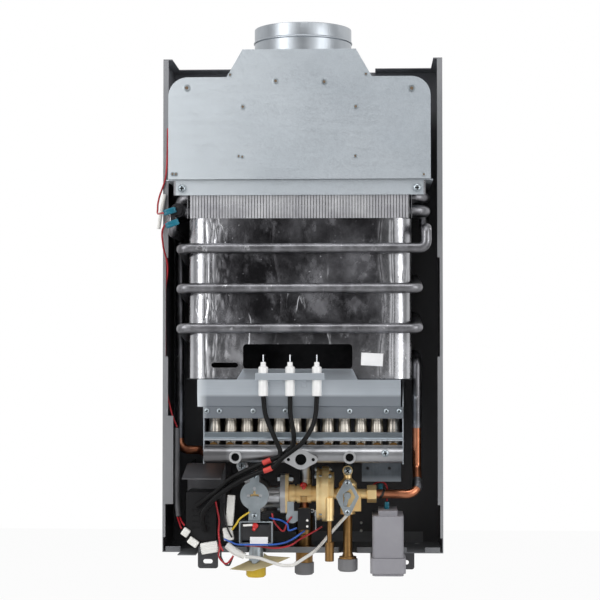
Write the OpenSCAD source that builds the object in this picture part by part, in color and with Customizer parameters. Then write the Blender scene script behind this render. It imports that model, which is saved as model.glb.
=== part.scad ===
// Tankless gas water heater with its front cover taken off.
// Wall plane at Y = 0, front towards -Y, Z up, origin at the middle of the back panel.

/* [Case] */
// Width of the folded tray
case_w = 340; // [335:1:360]
// Height of the tray
case_h = 600; // [590:1:640]
// Depth of the tray from the wall to its front flange
case_d = 110; // [104:1:116]
// Thickness of the tray sheet
case_t = 1; // [0.8:0.1:1.4]
// Width of the front flange
flange_w = 6.5; // [5:0.5:8]
// Width of the front flange beside the coil
flange_slim = 3.6; // [2.5:0.1:4.5]
// Width of the cable guard on the left flange
guard_w = 13; // [10:0.5:14]
// Width of the rims on top of the side walls
rim_side = 11; // [7:0.5:11]
// Depth of the rim on top of the back panel
rim_back = 33; // [28:1:36]
// Height of the front lip of the bottom plate
lip_h = 7; // [5:0.5:9]
// Drop of the wall tabs under the back panel
tab_drop = 34; // [33:0.5:40]
// Width of a wall tab
tab_w = 26; // [22:1:30]
// Distance between the two wall slots of a row
slot_span = 250; // [236:1:264]
// Distance of a wall slot from the top or bottom edge
slot_inset = 25; // [22:0.5:27]
// Length of a wall slot
slot_l = 12; // [10:0.5:14]
// Width of a wall slot
slot_w = 5.5; // [4.5:0.5:6.5]

/* [Stack] */
// Offset of the exchanger and the hood from the middle of the case
stack_x = -2; // [-3:0.5:0]
// Gap between the wall and the exchanger
stack_gap = 26; // [24:0.5:30]
// Depth of the exchanger
stack_d = 124; // [122:1:130]
// Thickness of the exchanger and hood sheet
sheet_t = 1; // [0.8:0.1:1.2]

/* [Hood] */
// Width of the hood
hood_w = 312; // [308:1:315]
// Height of the hood up to its shoulders
hood_h = 122; // [112:1:130]
// Radius of the shoulder corners
shoulder_r = 23; // [15:1:30]
// Width of the neck of the hood at the shoulders
neck_base = 174; // [165:1:185]
// Width of the neck of the hood at its top
neck_top = 135; // [132:1:145]
// Height of the neck of the hood
neck_h = 33; // [26:1:38]
// Distance that the hood stands proud of the exchanger
hood_proud = 7; // [5:0.5:9]
// Width of the hood base
base_w = 318; // [314:1:322]
// Width of the front strip of the hood base
strip_w = 295; // [290:1:305]
// Height of the front strip of the hood base
strip_h = 17.5; // [15:0.5:20]
// Distance between the two strip screws
strip_span = 280; // [276:1:284]

/* [Flue] */
// Outer diameter of the flue collar
collar_d = 119; // [110:0.5:122]
// Height of the flue collar
collar_h = 34; // [28:1:60]
// Thickness of the collar sheet
collar_t = 0.8; // [0.6:0.1:1.2]
// Height of the bead over the foot of the collar
bead_z = 18; // [12:1:22]

/* [Exchanger] */
// Width of the combustion shell
shell_w = 268; // [264:1:270]
// Height of the combustion shell up to the fins
shell_h = 191; // [186:1:200]
// Radius of the front corners of the combustion shell
corner_r = 23; // [12:1:26]
// Width of the viewing window
window_w = 130; // [110:1:140]
// Height of the viewing window
window_h = 29; // [24:1:34]
// Height of the window over the foot of the shell
window_z = 12; // [10:0.5:15]
// Number of fins
fin_n = 75; // [60:1:80]
// Thickness of a fin
fin_t = 0.5; // [0.3:0.1:0.8]
// Width of the fin pack
fin_w = 261; // [250:1:263]
// Height of the fin pack
fin_h = 40; // [37:1:43]
// Outer diameter of the tubes through the fins
fin_tube_d = 14; // [12:0.5:15]
// Outer diameter of the wound coil tube
coil_d = 12; // [10:0.5:12.5]
// Height of the lowest front run of the coil over the foot of the shell
coil_low = 60; // [54:1:66]
// Rise of the coil from turn to turn
coil_pitch = 47.5; // [44:0.5:50]
// Outer diameter of the hot and the supply pipe
pipe_d = 11; // [9:0.5:11.5]

/* [Burner] */
// Offset of the burner box from the middle of the case
burner_x = 3; // [2:0.5:4]
// Inner width of the burner box
box_w = 234; // [230:1:236]
// Height of the burner box up to the shell
box_h = 88; // [86:1:94]
// Thickness of the burner box sheet
box_t = 1.2; // [1:0.1:1.5]
// Distance that the burner box stands proud of the shell
box_proud = 11; // [10.5:0.5:14]
// Number of burners
burner_n = 12; // [8:1:12]
// Distance between burners
burner_pitch = 19.4; // [17:0.1:19.6]
// Thickness of a burner
burner_t = 13.6; // [12:0.2:15]
// Height of a burner
burner_h = 72; // [66:1:76]
// Height of the band of the burner front plate
band_h = 17; // [14:0.5:18]
// Distance that the band stands proud of the shell
band_proud = 16; // [14:0.5:17]
// Width of the band of the burner front plate
band_w = 240; // [236:1:246]
// Diameter of the gas manifold
manifold_d = 19; // [16:0.5:20]
// Distance between the outer electrodes
electrode_span = 63; // [56:1:68]
// Diameter of an electrode ceramic
ceramic_d = 11.5; // [10:0.5:12]
// Length of an electrode ceramic
ceramic_l = 34; // [32:0.5:36]
// Diameter of an ignition lead
lead_d = 5.6; // [4.8:0.2:5.8]

/* [Valves] */
// Height of the manifold axis over the bottom plate
manifold_h = 122; // [119:1:130]
// Height of the valve axis over the bottom plate
valve_h = 72; // [70:0.5:74]
// Distance of the valve axis from the wall
valve_y = 118; // [117:0.5:121]
// Distance of the gas valve from the middle of the case
gas_x = -55.5; // [-57:0.5:-54]
// Distance of the water inlet from the middle of the case
water_x = 55; // [54:0.5:57]
// Diameter of the gas valve casting
gas_d = 34; // [32:0.5:36]
// Diameter of the diaphragm housing
diaphragm_d = 66; // [60:0.5:67]
// Thickness of each half of the diaphragm housing
half_t = 9.5; // [8:0.5:10]
// Thickness of the diaphragm
diaphragm_t = 1.5; // [1:0.1:2]
// Diameter of the linkage rod
rod_d = 6; // [5:0.2:6.4]
// Outer diameter of the gas and water threads
thread_d = 20.8; // [20:0.2:21.4]
// Outer diameter of the protective caps
cap_d = 23.8; // [23.4:0.2:26]
// Height of the protective caps
cap_h = 15; // [13:0.5:17]
// Running clearance of parts that move
play = 0.3; // [0.25:0.05:0.4]

/* [Electrics] */
// Width of the battery box
bat_w = 37; // [36.4:0.2:39]
// Height of the battery box over the lid
bat_h = 49; // [48:0.5:52]
// Height of the battery lid
bat_lid_h = 21.5; // [18:0.5:21.5]
// Offset of the battery box from the middle of the case
bat_x = 103; // [101:0.5:105]
// Wall of the battery box
bat_t = 1.4; // [1.2:0.1:1.6]
// Diameter of a battery cell
cell_d = 33.2; // [32:0.1:33.4]
// Length of a battery cell
cell_l = 61.5; // [58:0.5:62]
// Width of the ignition controller
ctrl_w = 36; // [32:1:38]
// Height of the ignition controller
ctrl_h = 58; // [52:1:66]
// Depth of the ignition controller
ctrl_d = 50; // [44:1:54]

/* [Hidden] */
$fn = 48;
eps = 0.01;
cut = 1;

// Heights, from the bottom edge of the tray upwards
top_z = case_h / 2;
floor_z = -case_h / 2;
floor_top = floor_z + case_t;
valve_z = floor_z + valve_h;
manifold_z = floor_z + manifold_h;
burner_foot = manifold_z + 1;
nozzle_z = burner_foot + 7;
shell_foot = burner_foot + box_h;
shell_top = shell_foot + shell_h;
hood_z = shell_top + fin_h + 6;
shoulder_z = hood_z + hood_h;
hood_top = shoulder_z + neck_h;

// Depths, from the wall forwards
stack_rear = -stack_gap;
stack_front = -stack_gap - stack_d;
stack_mid = (stack_rear + stack_front) / 2;
hood_front = stack_front - hood_proud;
base_front = stack_front - 3;
box_front = stack_front - box_proud;
manifold_y = box_front - 2;
nozzle_seat = manifold_y + manifold_d / 2 + 0.2;
burner_front = nozzle_seat + 11;
valve_axis = -valve_y;

// Sides
case_in = case_w / 2 - case_t;
shell_l = stack_x - shell_w / 2;
shell_r = stack_x + shell_w / 2;
box_l = burner_x - box_w / 2;
box_r = burner_x + box_w / 2;

// Box between two corners
module block(lo, hi) {
    translate(lo) cube(hi - lo);
}

// Round bars along each axis
module rod_x(x0, x1, y, z, r) {
    translate([x0, y, z]) rotate([0, 90, 0]) cylinder(r = r, h = x1 - x0);
}
module rod_y(y0, y1, x, z, r) {
    translate([x, y0, z]) rotate([-90, 0, 0]) cylinder(r = r, h = y1 - y0);
}
module rod_z(z0, z1, x, y, r) {
    translate([x, y, z0]) cylinder(r = r, h = z1 - z0);
}

// A front outline, drawn in X and Z, between two depths
module panel(y0, y1) {
    translate([0, y1, 0]) rotate([90, 0, 0]) linear_extrude(y1 - y0) children();
}

// A side profile, drawn in Y and Z, between two sides
module profile(x0, x1) {
    translate([x0, 0, 0]) rotate([90, 0, 90]) linear_extrude(x1 - x0) children();
}

// A slot with round ends
module slot(length, width) {
    square([length - width, width], center = true);
    for (s = [-1, 1])
        translate([s * (length - width) / 2, 0]) circle(d = width);
}

// A rectangle with round corners
module rounded(w, h, r) {
    square([w - 2 * r, h], center = true);
    square([w, h - 2 * r], center = true);
    for (sx = [-1, 1], sy = [-1, 1])
        translate([sx * (w / 2 - r), sy * (h / 2 - r)]) circle(r);
}

// Pan-head screw that points to the back, with its head on the plane y
module screw(x, y, z, head_r, shank_r, shank_l) {
    difference() {
        rod_y(y - 0.6 * head_r, y, x, z, head_r);
        for (a = [0, 90])
            translate([x, y - 0.6 * head_r, z]) rotate([0, a, 0])
                cube([1.2 * head_r, 0.4 * head_r, 0.24 * head_r], center = true);
    }
    rod_y(y - eps, y + shank_l, x, z, shank_r);
}

// Sweep of a round tube along points, with one ring of sides at each point
function unit(v) = v / norm(v);
function tangents(p) = [
    for (i = [0:len(p) - 1]) unit(p[min(i + 1, len(p) - 1)] - p[max(i - 1, 0)])
];
function start_normal(t) = unit(cross(t, abs(t[2]) < 0.9 ? [0, 0, 1] : [1, 0, 0]));
function carried(n, t) = unit(n - (n * t) * t);
function normals(t) = [
    for (i = 0, n = start_normal(t[0]); i < len(t); i = i + 1, n = i < len(t) ? carried(n, t[i]) : n) n
];
module tube(p, d, sides) {
    t = tangents(p);
    n = normals(t);
    rings = [
        for (i = [0:len(p) - 1], k = [0:sides - 1])
            let (a = 360 * k / sides)
                p[i] + d / 2 * (cos(a) * n[i] + sin(a) * cross(t[i], n[i]))
    ];
    walls = [
        for (i = [0:len(p) - 2], k = [0:sides - 1])
            let (m = (k + 1) % sides, a = i * sides, b = a + sides)
                each [[a + k, b + k, b + m], [a + k, b + m, a + m]]
    ];
    last = (len(p) - 1) * sides;
    caps = [[for (k = [0:sides - 1]) k], [for (k = [0:sides - 1]) last + sides - 1 - k]];
    polyhedron(rings, concat(walls, caps));
}

// Corners of a route turned into arcs of radius r, each in n steps
function arc(a, b, c, r, n) =
    let (
        u = unit(a - b),
        v = unit(c - b),
        half = acos(u * v) / 2,
        o = b + unit(u + v) * r / sin(half),
        e = unit(b + u * r / tan(half) - o)
    )
    [for (i = [0:n]) let (k = (180 - 2 * half) * i / n) o + r * (cos(k) * e - sin(k) * u)];
function bent(p, r, n) = [
    p[0],
    for (i = [1:len(p) - 2]) each arc(p[i - 1], p[i], p[i + 1], r, n),
    p[len(p) - 1]
];

// Sheet metal tray: back panel with wall tabs, side walls, front flanges and top rims, each a flat
// plate with a hairline seam at its fold
seam = 0.1;
wall_top = top_z - case_t - seam;
wall_back = -case_t - seam;
flange_back = case_t - case_d;
slim_low = shell_foot + 26;
slim_high = shell_foot + 146;
flange_low = floor_z + 18;
guard_low = floor_z + 58;
guard_high = manifold_z + 43;
module tab_outline(x) {
    translate([x, floor_z - tab_drop / 2 + 2]) rounded(tab_w, tab_drop + 4, 3.5);
}
module wall_slots() {
    for (x = [-slot_span / 2, slot_span / 2], z = [floor_z - slot_inset, top_z - slot_inset])
        translate([x, z]) slot(slot_l, slot_w);
}
module side_plates() {
    block([case_in, flange_back + seam, floor_z], [case_w / 2, wall_back, wall_top]);
    block([case_in, -case_d, floor_z], [case_w / 2, flange_back, wall_top]);
    block([case_w / 2 - flange_slim, -case_d, flange_low], [case_w / 2, flange_back, wall_top]);
    block([case_w / 2 - flange_w, -case_d, slim_high], [case_w / 2, flange_back, wall_top]);
    block([case_w / 2 - flange_w, -case_d, guard_low], [case_w / 2, flange_back, slim_low]);
}
module top_rims() {
    difference() {
        union() {
            block([-case_w / 2, -rim_back, top_z - case_t], [case_w / 2, wall_back, top_z]);
            for (m = [0, 1])
                mirror([m, 0, 0])
                    block([case_w / 2 - rim_side, -case_d, top_z - case_t], [case_w / 2, wall_back, top_z]);
        }
        block([stack_x - neck_base / 2 - 4, -rim_back - cut, top_z - case_t - cut],
              [stack_x + neck_base / 2 + 4, 0, top_z + cut]);
    }
}
module chassis() {
    color("dimgray") {
        panel(-case_t, 0) difference() {
            union() {
                translate([-case_w / 2, floor_z]) square([case_w, case_h]);
                for (s = [-1, 1])
                    tab_outline(s * slot_span / 2);
            }
            wall_slots();
        }
        for (m = [0, 1])
            mirror([m, 0, 0]) side_plates();
        block([-case_w / 2, -case_d, guard_low], [guard_w - case_w / 2, flange_back, guard_high]);
        top_rims();
    }
}

// Bottom plate with its front lip, notches for the pipes and the battery box
notch_r = 14;
tongue_l = 31;
outlet_x = 1;
outlet_y = -75;
bat_l = bat_x - bat_w / 2;
bat_r = bat_x + bat_w / 2;
bat_depth = 2 * cell_d + 5;
bat_front = -case_d - 40;
bat_rear = bat_front + bat_depth;
module bottom_plate() {
    color("gray") difference() {
        union() {
            block([-case_in, -case_d, floor_z], [case_in, -case_t, floor_top]);
            block([-case_in + 3, -case_d, floor_z], [case_in - 3, case_t - case_d, floor_z + lip_h]);
            block([-case_in + 20, -2 * case_t, floor_z], [case_in - 20, -case_t, floor_z + 2 * lip_h]);
            block([22 - case_w / 2, -case_d - tongue_l, floor_z],
                  [44 - case_w / 2, eps - case_d, floor_top]);
        }
        for (x = [gas_x, water_x])
            rod_z(floor_z - cut, floor_z + lip_h + cut, x, valve_axis, notch_r);
        rod_z(floor_z - cut, floor_top + cut, outlet_x, outlet_y, thread_d / 2 + play);
        rod_z(floor_z - cut, floor_top + cut, case_in - 28, -20, 3);
        for (x = [22 - case_w / 2, case_w / 2 - 44])
            block([x, -case_d - cut, floor_top], [x + 22, 2 * case_t - case_d, floor_z + lip_h + cut]);
        block([bat_l - play, -case_d - cut, floor_z - cut],
              [bat_r + play, bat_rear + play, floor_z + lip_h + cut]);
    }
}

// Folded rails between the back panel and the exchanger, and turned standoffs for the valves
rail_half = 95;
rail_leg = 16;
bracket_t = 1.2;
standoff_r = 5;
gas_lug_x = gas_x - 18;
gas_lug_z = valve_z + 32.5;
gas_lug_y = valve_axis + 18;
water_lug_z = valve_z + 28;
water_lug_y = valve_axis + 5;
module fold_rail(z) {
    profile(stack_x - rail_half, stack_x + rail_half) {
        translate([stack_rear, z]) square([stack_gap - case_t, bracket_t]);
        translate([stack_rear, z]) square([bracket_t, rail_leg]);
        translate([-case_t - bracket_t, z]) square([bracket_t, rail_leg]);
    }
}
module wall_brackets() {
    color("silver") {
        fold_rail(shell_foot + 1);
        fold_rail(coil_z(2) + 12);
        rod_y(gas_lug_y, -case_t, gas_lug_x, gas_lug_z, standoff_r);
        rod_y(water_lug_y, -case_t, water_x, water_lug_z, standoff_r);
    }
}

// Rolled flue collar with a bead and a foot that sits on the hood
collar_r = collar_d / 2;
foot_r = collar_r + 3;
bead_r = 1.6;
module flue_collar() {
    color("lightgray") translate([stack_x + 2, stack_mid, hood_top]) rotate_extrude() difference() {
        union() {
            translate([collar_r - collar_t, 0]) square([collar_t, collar_h]);
            translate([collar_r - collar_t, 0]) square([foot_r - collar_r + collar_t, collar_t]);
            translate([collar_r - collar_t / 2, bead_z]) circle(bead_r);
            translate([collar_r - 0.8, collar_h]) circle(0.8);
        }
        translate([collar_r - collar_t / 2 - 2, bead_z]) circle(bead_r);
    }
}

// Outline of the hood: round shoulders and a tapered neck
module hood_outline(inset) {
    w = hood_w / 2 - inset;
    r = shoulder_r - inset;
    translate([stack_x - w, hood_z]) square([2 * w, hood_h - shoulder_r]);
    translate([stack_x - w + r, hood_z]) square([2 * w - 2 * r, hood_h - inset]);
    for (s = [-1, 1])
        translate([stack_x + s * (w - r), shoulder_z - shoulder_r]) circle(r);
    polygon([
        [stack_x - neck_base / 2 + inset, shoulder_z - inset - 1],
        [stack_x + neck_base / 2 - inset, shoulder_z - inset - 1],
        [stack_x + neck_top / 2 - inset, hood_top - inset],
        [stack_x - neck_top / 2 + inset, hood_top - inset]
    ]);
}
module draft_hood() {
    color("lightsteelblue") difference() {
        panel(hood_front, stack_rear - sheet_t) hood_outline(0);
        panel(hood_front - cut, stack_rear - 2 * sheet_t) hood_outline(sheet_t);
        block([stack_x - hood_w / 2 + sheet_t, hood_front - cut, hood_z - cut],
              [stack_x + hood_w / 2 - sheet_t, stack_rear - 2 * sheet_t, hood_z + shoulder_r]);
        rod_z(hood_top - 2 * sheet_t, hood_top + cut, stack_x + 2, stack_mid, collar_r - collar_t);
    }
}

// Front plate of the hood, with clinched dimples in mirrored pairs
dimples = [
    [134, hood_h - 14], [81, hood_h + 2], [29, hood_h - 6], [67.5, 86], [68, 27.5], [148, 6.5]
];
module hood_front_plate() {
    color("lightsteelblue") {
        panel(hood_front - sheet_t, hood_front) hood_outline(0);
        for (d = dimples, s = [-1, 1])
            rod_y(hood_front - sheet_t - 0.6, hood_front - sheet_t, stack_x + s * d[0], hood_z + d[1], 2.1);
    }
}

// Base of the hood: a flat frame with a strip turned down at the front
screw_r = 1.9;
strip_screw_z = hood_z - sheet_t - 9.5;
module strip_holes(y0, y1) {
    for (s = [-1, 1])
        rod_y(y0, y1, stack_x + s * strip_span / 2, strip_screw_z, screw_r + 0.1);
}
module hood_base() {
    color("lightsteelblue") difference() {
        union() {
            block([stack_x - base_w / 2, base_front, hood_z - sheet_t],
                  [stack_x + base_w / 2, stack_rear + 2, hood_z]);
            block([stack_x - strip_w / 2, base_front, hood_z - sheet_t - strip_h],
                  [stack_x + strip_w / 2, base_front + sheet_t, hood_z - sheet_t + eps]);
        }
        block([shell_l + sheet_t, stack_front + sheet_t, hood_z - sheet_t - cut],
              [shell_r - sheet_t, stack_rear - sheet_t, hood_z + cut]);
        strip_holes(base_front - cut, base_front + sheet_t + cut);
    }
}

// Screws of the hood strip and of the burner front plate
burner_screws = [-114, -99, -59, -21, 55, 98, 113];
flange_screw_z = shell_foot - 38;
plate_face = box_front - 2 * box_t;
module sheet_screws() {
    color("gainsboro") {
        for (s = [-1, 1])
            screw(stack_x + s * strip_span / 2, base_front, strip_screw_z, 4.6, screw_r, 4);
        for (x = burner_screws)
            screw(burner_x + x, plate_face, flange_screw_z, 3, 1.4, 3);
    }
}

// Fins on their tubes, two rows deep, with return bends at both ends
low_z = shell_top + 10;
high_z = shell_top + 27;
tube_step = (stack_d - 32) / 3;
low_y = [for (i = [0:3]) stack_front + 16 + i * tube_step];
high_y = [for (i = [0:2]) stack_front + 16 + (i + 0.5) * tube_step];
tube_l = shell_l - 1;
tube_r = shell_r + 1;
module tube_holes(r) {
    for (y = low_y)
        translate([y, low_z]) circle(r);
    for (y = high_y)
        translate([y, high_z]) circle(r);
}
fin_pitch = (fin_w - fin_t) / (fin_n - 1);
fin_gap = 0.7;
module fin_pack() {
    color("silver") for (i = [0:fin_n - 1]) {
        x = stack_x - fin_w / 2 + i * fin_pitch;
        profile(x, x + fin_t) difference() {
            translate([stack_front, shell_top]) square([stack_d - 2 * sheet_t, fin_h]);
            tube_holes(fin_tube_d / 2 + 0.1);
        }
        if (i < fin_n - 1)
            block([x, stack_front, shell_top],
                  [x + fin_pitch - fin_gap, stack_front + fin_t, shell_top + fin_h]);
    }
}
module return_bend(x, side, a, b) {
    d = b - a;
    translate([x, (a[0] + b[0]) / 2, (a[1] + b[1]) / 2])
        rotate([atan2(d[1], d[0]), 0, 0]) intersection() {
            rotate_extrude() translate([norm(d) / 2, 0]) circle(d = fin_tube_d - 1);
            translate([side > 0 ? 0 : -60, -60, -60]) cube([60, 120, 120]);
        }
}
module fin_tubes() {
    color("silver") {
        for (y = low_y)
            rod_x(tube_l, tube_r, y, low_z, fin_tube_d / 2);
        for (y = high_y)
            rod_x(tube_l, tube_r, y, high_z, fin_tube_d / 2);
        return_bend(tube_r, 1, [low_y[0], low_z], [low_y[1], low_z]);
        return_bend(tube_r, 1, [high_y[0], high_z], [high_y[1], high_z]);
        return_bend(tube_r, 1, [high_y[2], high_z], [low_y[3], low_z]);
        return_bend(tube_l, -1, [low_y[2], low_z], [low_y[3], low_z]);
        return_bend(tube_l, -1, [high_y[1], high_z], [high_y[2], high_z]);
        return_bend(tube_l, -1, [high_y[0], high_z], [low_y[1], low_z]);
    }
}

// Combustion shell: open above and below, with a window and a slot in its front
window_l = stack_x - window_w / 2 - 2;
ear_w = 16;
module shell_openings() {
    translate([window_l, shell_foot + window_z]) square([window_w, window_h - 4]);
    translate([window_l + 4, shell_foot + window_z]) square([window_w - 8, window_h]);
    for (x = [window_l + 4, window_l + window_w - 4])
        translate([x, shell_foot + window_z + window_h - 4]) circle(4);
    translate([window_l - 22, shell_foot + window_z + 4]) slot(32, 6);
}
module shell_plan(inset) {
    translate([shell_l + inset, stack_front + corner_r])
        square([shell_w - 2 * inset, stack_d - corner_r - inset]);
    translate([shell_l + corner_r, stack_front + inset]) square([shell_w - 2 * corner_r, corner_r]);
    for (x = [shell_l + corner_r, shell_r - corner_r])
        translate([x, stack_front + corner_r]) circle(corner_r - inset);
}
module exchanger_shell() {
    color("slategray") difference() {
        union() {
            translate([0, 0, shell_foot]) linear_extrude(shell_h) shell_plan(0);
            block([shell_l, stack_front, shell_top - eps], [shell_r, stack_rear, hood_z - sheet_t]);
            for (x = [shell_l - ear_w + eps, shell_r - eps])
                block([x, base_front + sheet_t, hood_z - sheet_t - strip_h],
                      [x + ear_w, stack_front + sheet_t, hood_z - sheet_t]);
        }
        translate([0, 0, shell_foot - cut]) linear_extrude(shell_h + 2 * cut) shell_plan(sheet_t);
        block([shell_l + sheet_t, stack_front - cut, shell_top],
              [shell_r - sheet_t, stack_rear - sheet_t, hood_z + cut]);
        panel(stack_front - cut, stack_front + sheet_t + cut) shell_openings();
        profile(shell_l - cut, shell_r + cut) tube_holes(fin_tube_d / 2 + 0.1);
        strip_holes(stack_front - 3, stack_front + 2);
    }
}

// Coil wound round the shell: level in front, rising along the sides and the back, and the hot riser
wrap = coil_d / 2 + 0.9;
coil_bend = coil_d / 2 + 2.6;
coil_l = shell_l - wrap;
coil_r = shell_r + wrap;
coil_front = stack_front - wrap;
coil_back = stack_rear + wrap;
coil_foot = burner_foot + 27;
coil_out = coil_r + 10;
function coil_z(k) = shell_foot + coil_low + k * coil_pitch;
coil_route = [
    [coil_r, stack_mid, coil_foot],
    [coil_r, stack_mid, coil_z(0) - 40],
    for (k = [0:2]) each [
        [coil_r, coil_back, coil_z(k) - 32],
        [coil_l, coil_back, coil_z(k) - 16],
        [coil_l, coil_front, coil_z(k)],
        [k < 2 ? coil_r : coil_out, coil_front, coil_z(k)]
    ],
    [coil_out, coil_front, coil_z(2) + 24],
    [coil_out, low_y[2], coil_z(2) + 24],
    [coil_out, low_y[2], low_z],
    [tube_r, low_y[2], low_z]
];
riser_x = shell_l - coil_d - pipe_d / 2 - 2.2;
riser_y = -50;
riser_foot = burner_foot + 12;
riser_route = [
    [tube_l, low_y[0], low_z],
    [riser_x, low_y[0], low_z],
    [riser_x, low_y[0], low_z - 26],
    [riser_x, riser_y, low_z - 26],
    [riser_x, riser_y, riser_foot]
];
module coil_tube() {
    color("slategray") {
        tube(bent(coil_route, coil_bend, 4), coil_d, 12);
        tube(bent(riser_route, 11, 4), pipe_d, 12);
    }
}

// Copper pipes to the hot outlet and from the water valve
nut_l = water_x + 23;
nut_w = 11.5;
run_z = burner_foot - 7;
hot_route = [
    [riser_x, riser_y, riser_foot],
    [riser_x, riser_y, burner_foot - 3],
    [box_l - 8.7, riser_y, burner_foot - 3],
    [box_l - 8.7, outlet_y, run_z],
    [outlet_x, outlet_y, run_z],
    [outlet_x, outlet_y, valve_z - 34]
];
supply_route = [
    [nut_l + 1, valve_axis, valve_z],
    [coil_r, valve_axis, valve_z],
    [coil_r, stack_mid, valve_z + 30],
    [coil_r, stack_mid, coil_foot]
];
module hot_pipe() {
    color("peru") tube(bent(hot_route, 12, 4), pipe_d, 12);
}
module supply_pipe() {
    color("peru") tube(bent(supply_route, 14, 5), pipe_d, 12);
}
module union_nut() {
    color("goldenrod") difference() {
        translate([nut_l, valve_axis, valve_z]) rotate([0, 90, 0]) cylinder(r = 10.9, h = nut_w, $fn = 6);
        rod_x(nut_l + 1, nut_l + nut_w + cut, valve_axis, valve_z, pipe_d / 2 + 0.1);
    }
}

// Overheat thermostat clipped on the elbow of the hot riser
thermo_x = riser_x + 8;
thermo_rear = low_y[0] - pipe_d / 2 - 0.2;
module overheat_thermostat() {
    color("dimgray") {
        rod_y(thermo_rear - 8, thermo_rear, thermo_x, low_z, 8.5);
        rod_y(thermo_rear - 12, thermo_rear - 8, thermo_x, low_z, 6);
        block([thermo_x - 8, thermo_rear - 12, low_z - 13], [thermo_x - 2.5, thermo_rear - 10.8, low_z]);
    }
}

// Burner box: a top frame under the shell, side and back walls, and two bars that carry the burners
bar_w = 10;
bar_front = burner_front + 12;
bar_rear = stack_rear - 34;
tongue_z = manifold_z - manifold_d / 2 - 2;
module box_side(x) {
    profile(x, x + box_t) {
        translate([box_front, tongue_z]) square([34, band_top - sheet_t - play - tongue_z]);
        translate([stack_front, burner_foot - box_t]) square([stack_d, box_h]);
    }
}
module burner_box() {
    color("gainsboro") {
        difference() {
            block([shell_l, stack_front, shell_foot - box_t], [shell_r, stack_rear, shell_foot]);
            block([box_l, stack_front + 6, shell_foot - 2 * box_t],
                  [box_r, stack_rear - 6, shell_foot + cut]);
        }
        box_side(box_l - box_t);
        box_side(box_r);
        block([box_l, stack_rear - box_t, burner_foot + 20], [box_r, stack_rear, shell_foot - box_t]);
        for (y = [bar_front, bar_rear])
            block([box_l, y, burner_foot - box_t], [box_r, y + bar_w, burner_foot]);
    }
}

// Bent front plate of the burner: sloped top under the window, band, recess and screwed flange
band_front = stack_front - band_proud;
band_top = shell_foot - 1;
recess_z = shell_foot - 33;
plate_foot = recess_z - 13.5;
lip_z = shell_foot + window_z - 0.5;
module burner_front_plate() {
    color("lightsteelblue") difference() {
        union() {
            profile(stack_x - band_w / 2, stack_x + band_w / 2) polygon([
                [band_front, band_top],
                [stack_front, band_top],
                [stack_front, band_top - sheet_t],
                [band_front + sheet_t, band_top - sheet_t],
                [band_front + sheet_t, band_top - band_h],
                [box_front, recess_z],
                [box_front - box_t, recess_z],
                [band_front, band_top - band_h]
            ]);
            block([box_l - box_t, box_front - box_t, plate_foot],
                  [box_r + box_t, box_front, recess_z + eps]);
            block([box_l - box_t, plate_face, plate_foot],
                  [box_r + box_t, box_front - box_t + eps, recess_z]);
            intersection() {
                profile(stack_x - band_w / 2, stack_x + band_w / 2) polygon([
                    [band_front, band_top - eps],
                    [stack_front, lip_z],
                    [stack_front, lip_z - 1.5],
                    [band_front + 1.5, band_top - eps]
                ]);
                panel(band_front, stack_front) polygon([
                    [window_l - 7, band_top - 1],
                    [window_l, lip_z],
                    [window_l + window_w, lip_z],
                    [window_l + window_w + 7, band_top - 1]
                ]);
            }
        }
        for (x = burner_screws)
            rod_y(plate_face - cut, box_front + cut, burner_x + x, flange_screw_z, 1.5);
    }
}

// Burners: two pressed halves side by side, slotted flame ports on top and a round mouth in front
burner_rear = stack_rear - 14;
burner_l = burner_rear - burner_front;
port_n = 9;
function burner_at(i) = burner_x + (i - (burner_n - 1) / 2) * burner_pitch;
module burner(x) {
    half = burner_t / 2 + 0.05;
    difference() {
        for (s = [-1, 1])
            translate([x + s * (burner_t / 2 - half / 2), (burner_front + burner_rear) / 2, burner_foot])
                linear_extrude(burner_h - 7) rotate(90) slot(burner_l, half);
        rod_y(burner_front - cut, burner_front + 30, x, nozzle_z, 4.6);
    }
    profile(x - 4, x + 4) difference() {
        translate([burner_front + 4, burner_foot + burner_h - 8]) square([burner_l - 8, 8]);
        for (i = [0:port_n - 1])
            translate([burner_front + 8 + i * (burner_l - 16) / port_n, burner_foot + burner_h - 5])
                square([2.4, 6]);
    }
}
module burners() {
    color("darkkhaki") for (i = [0:burner_n - 1])
        burner(burner_at(i));
}

// Rail in front of the burner mouths, with a rolled foot over the nozzles
rail_foot = nozzle_z + 7.6;
rail_top = burner_foot + 25;
roll_r = 2.2;
module burner_rail() {
    color("lightsteelblue") {
        block([box_l, box_front, rail_foot + roll_r], [box_r, box_front + box_t, rail_top]);
        block([box_l, box_front, rail_top - box_t], [box_r, box_front + 10, rail_top]);
        rod_x(box_l, box_r, box_front + box_t / 2, rail_foot + roll_r, roll_r);
    }
}

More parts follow.
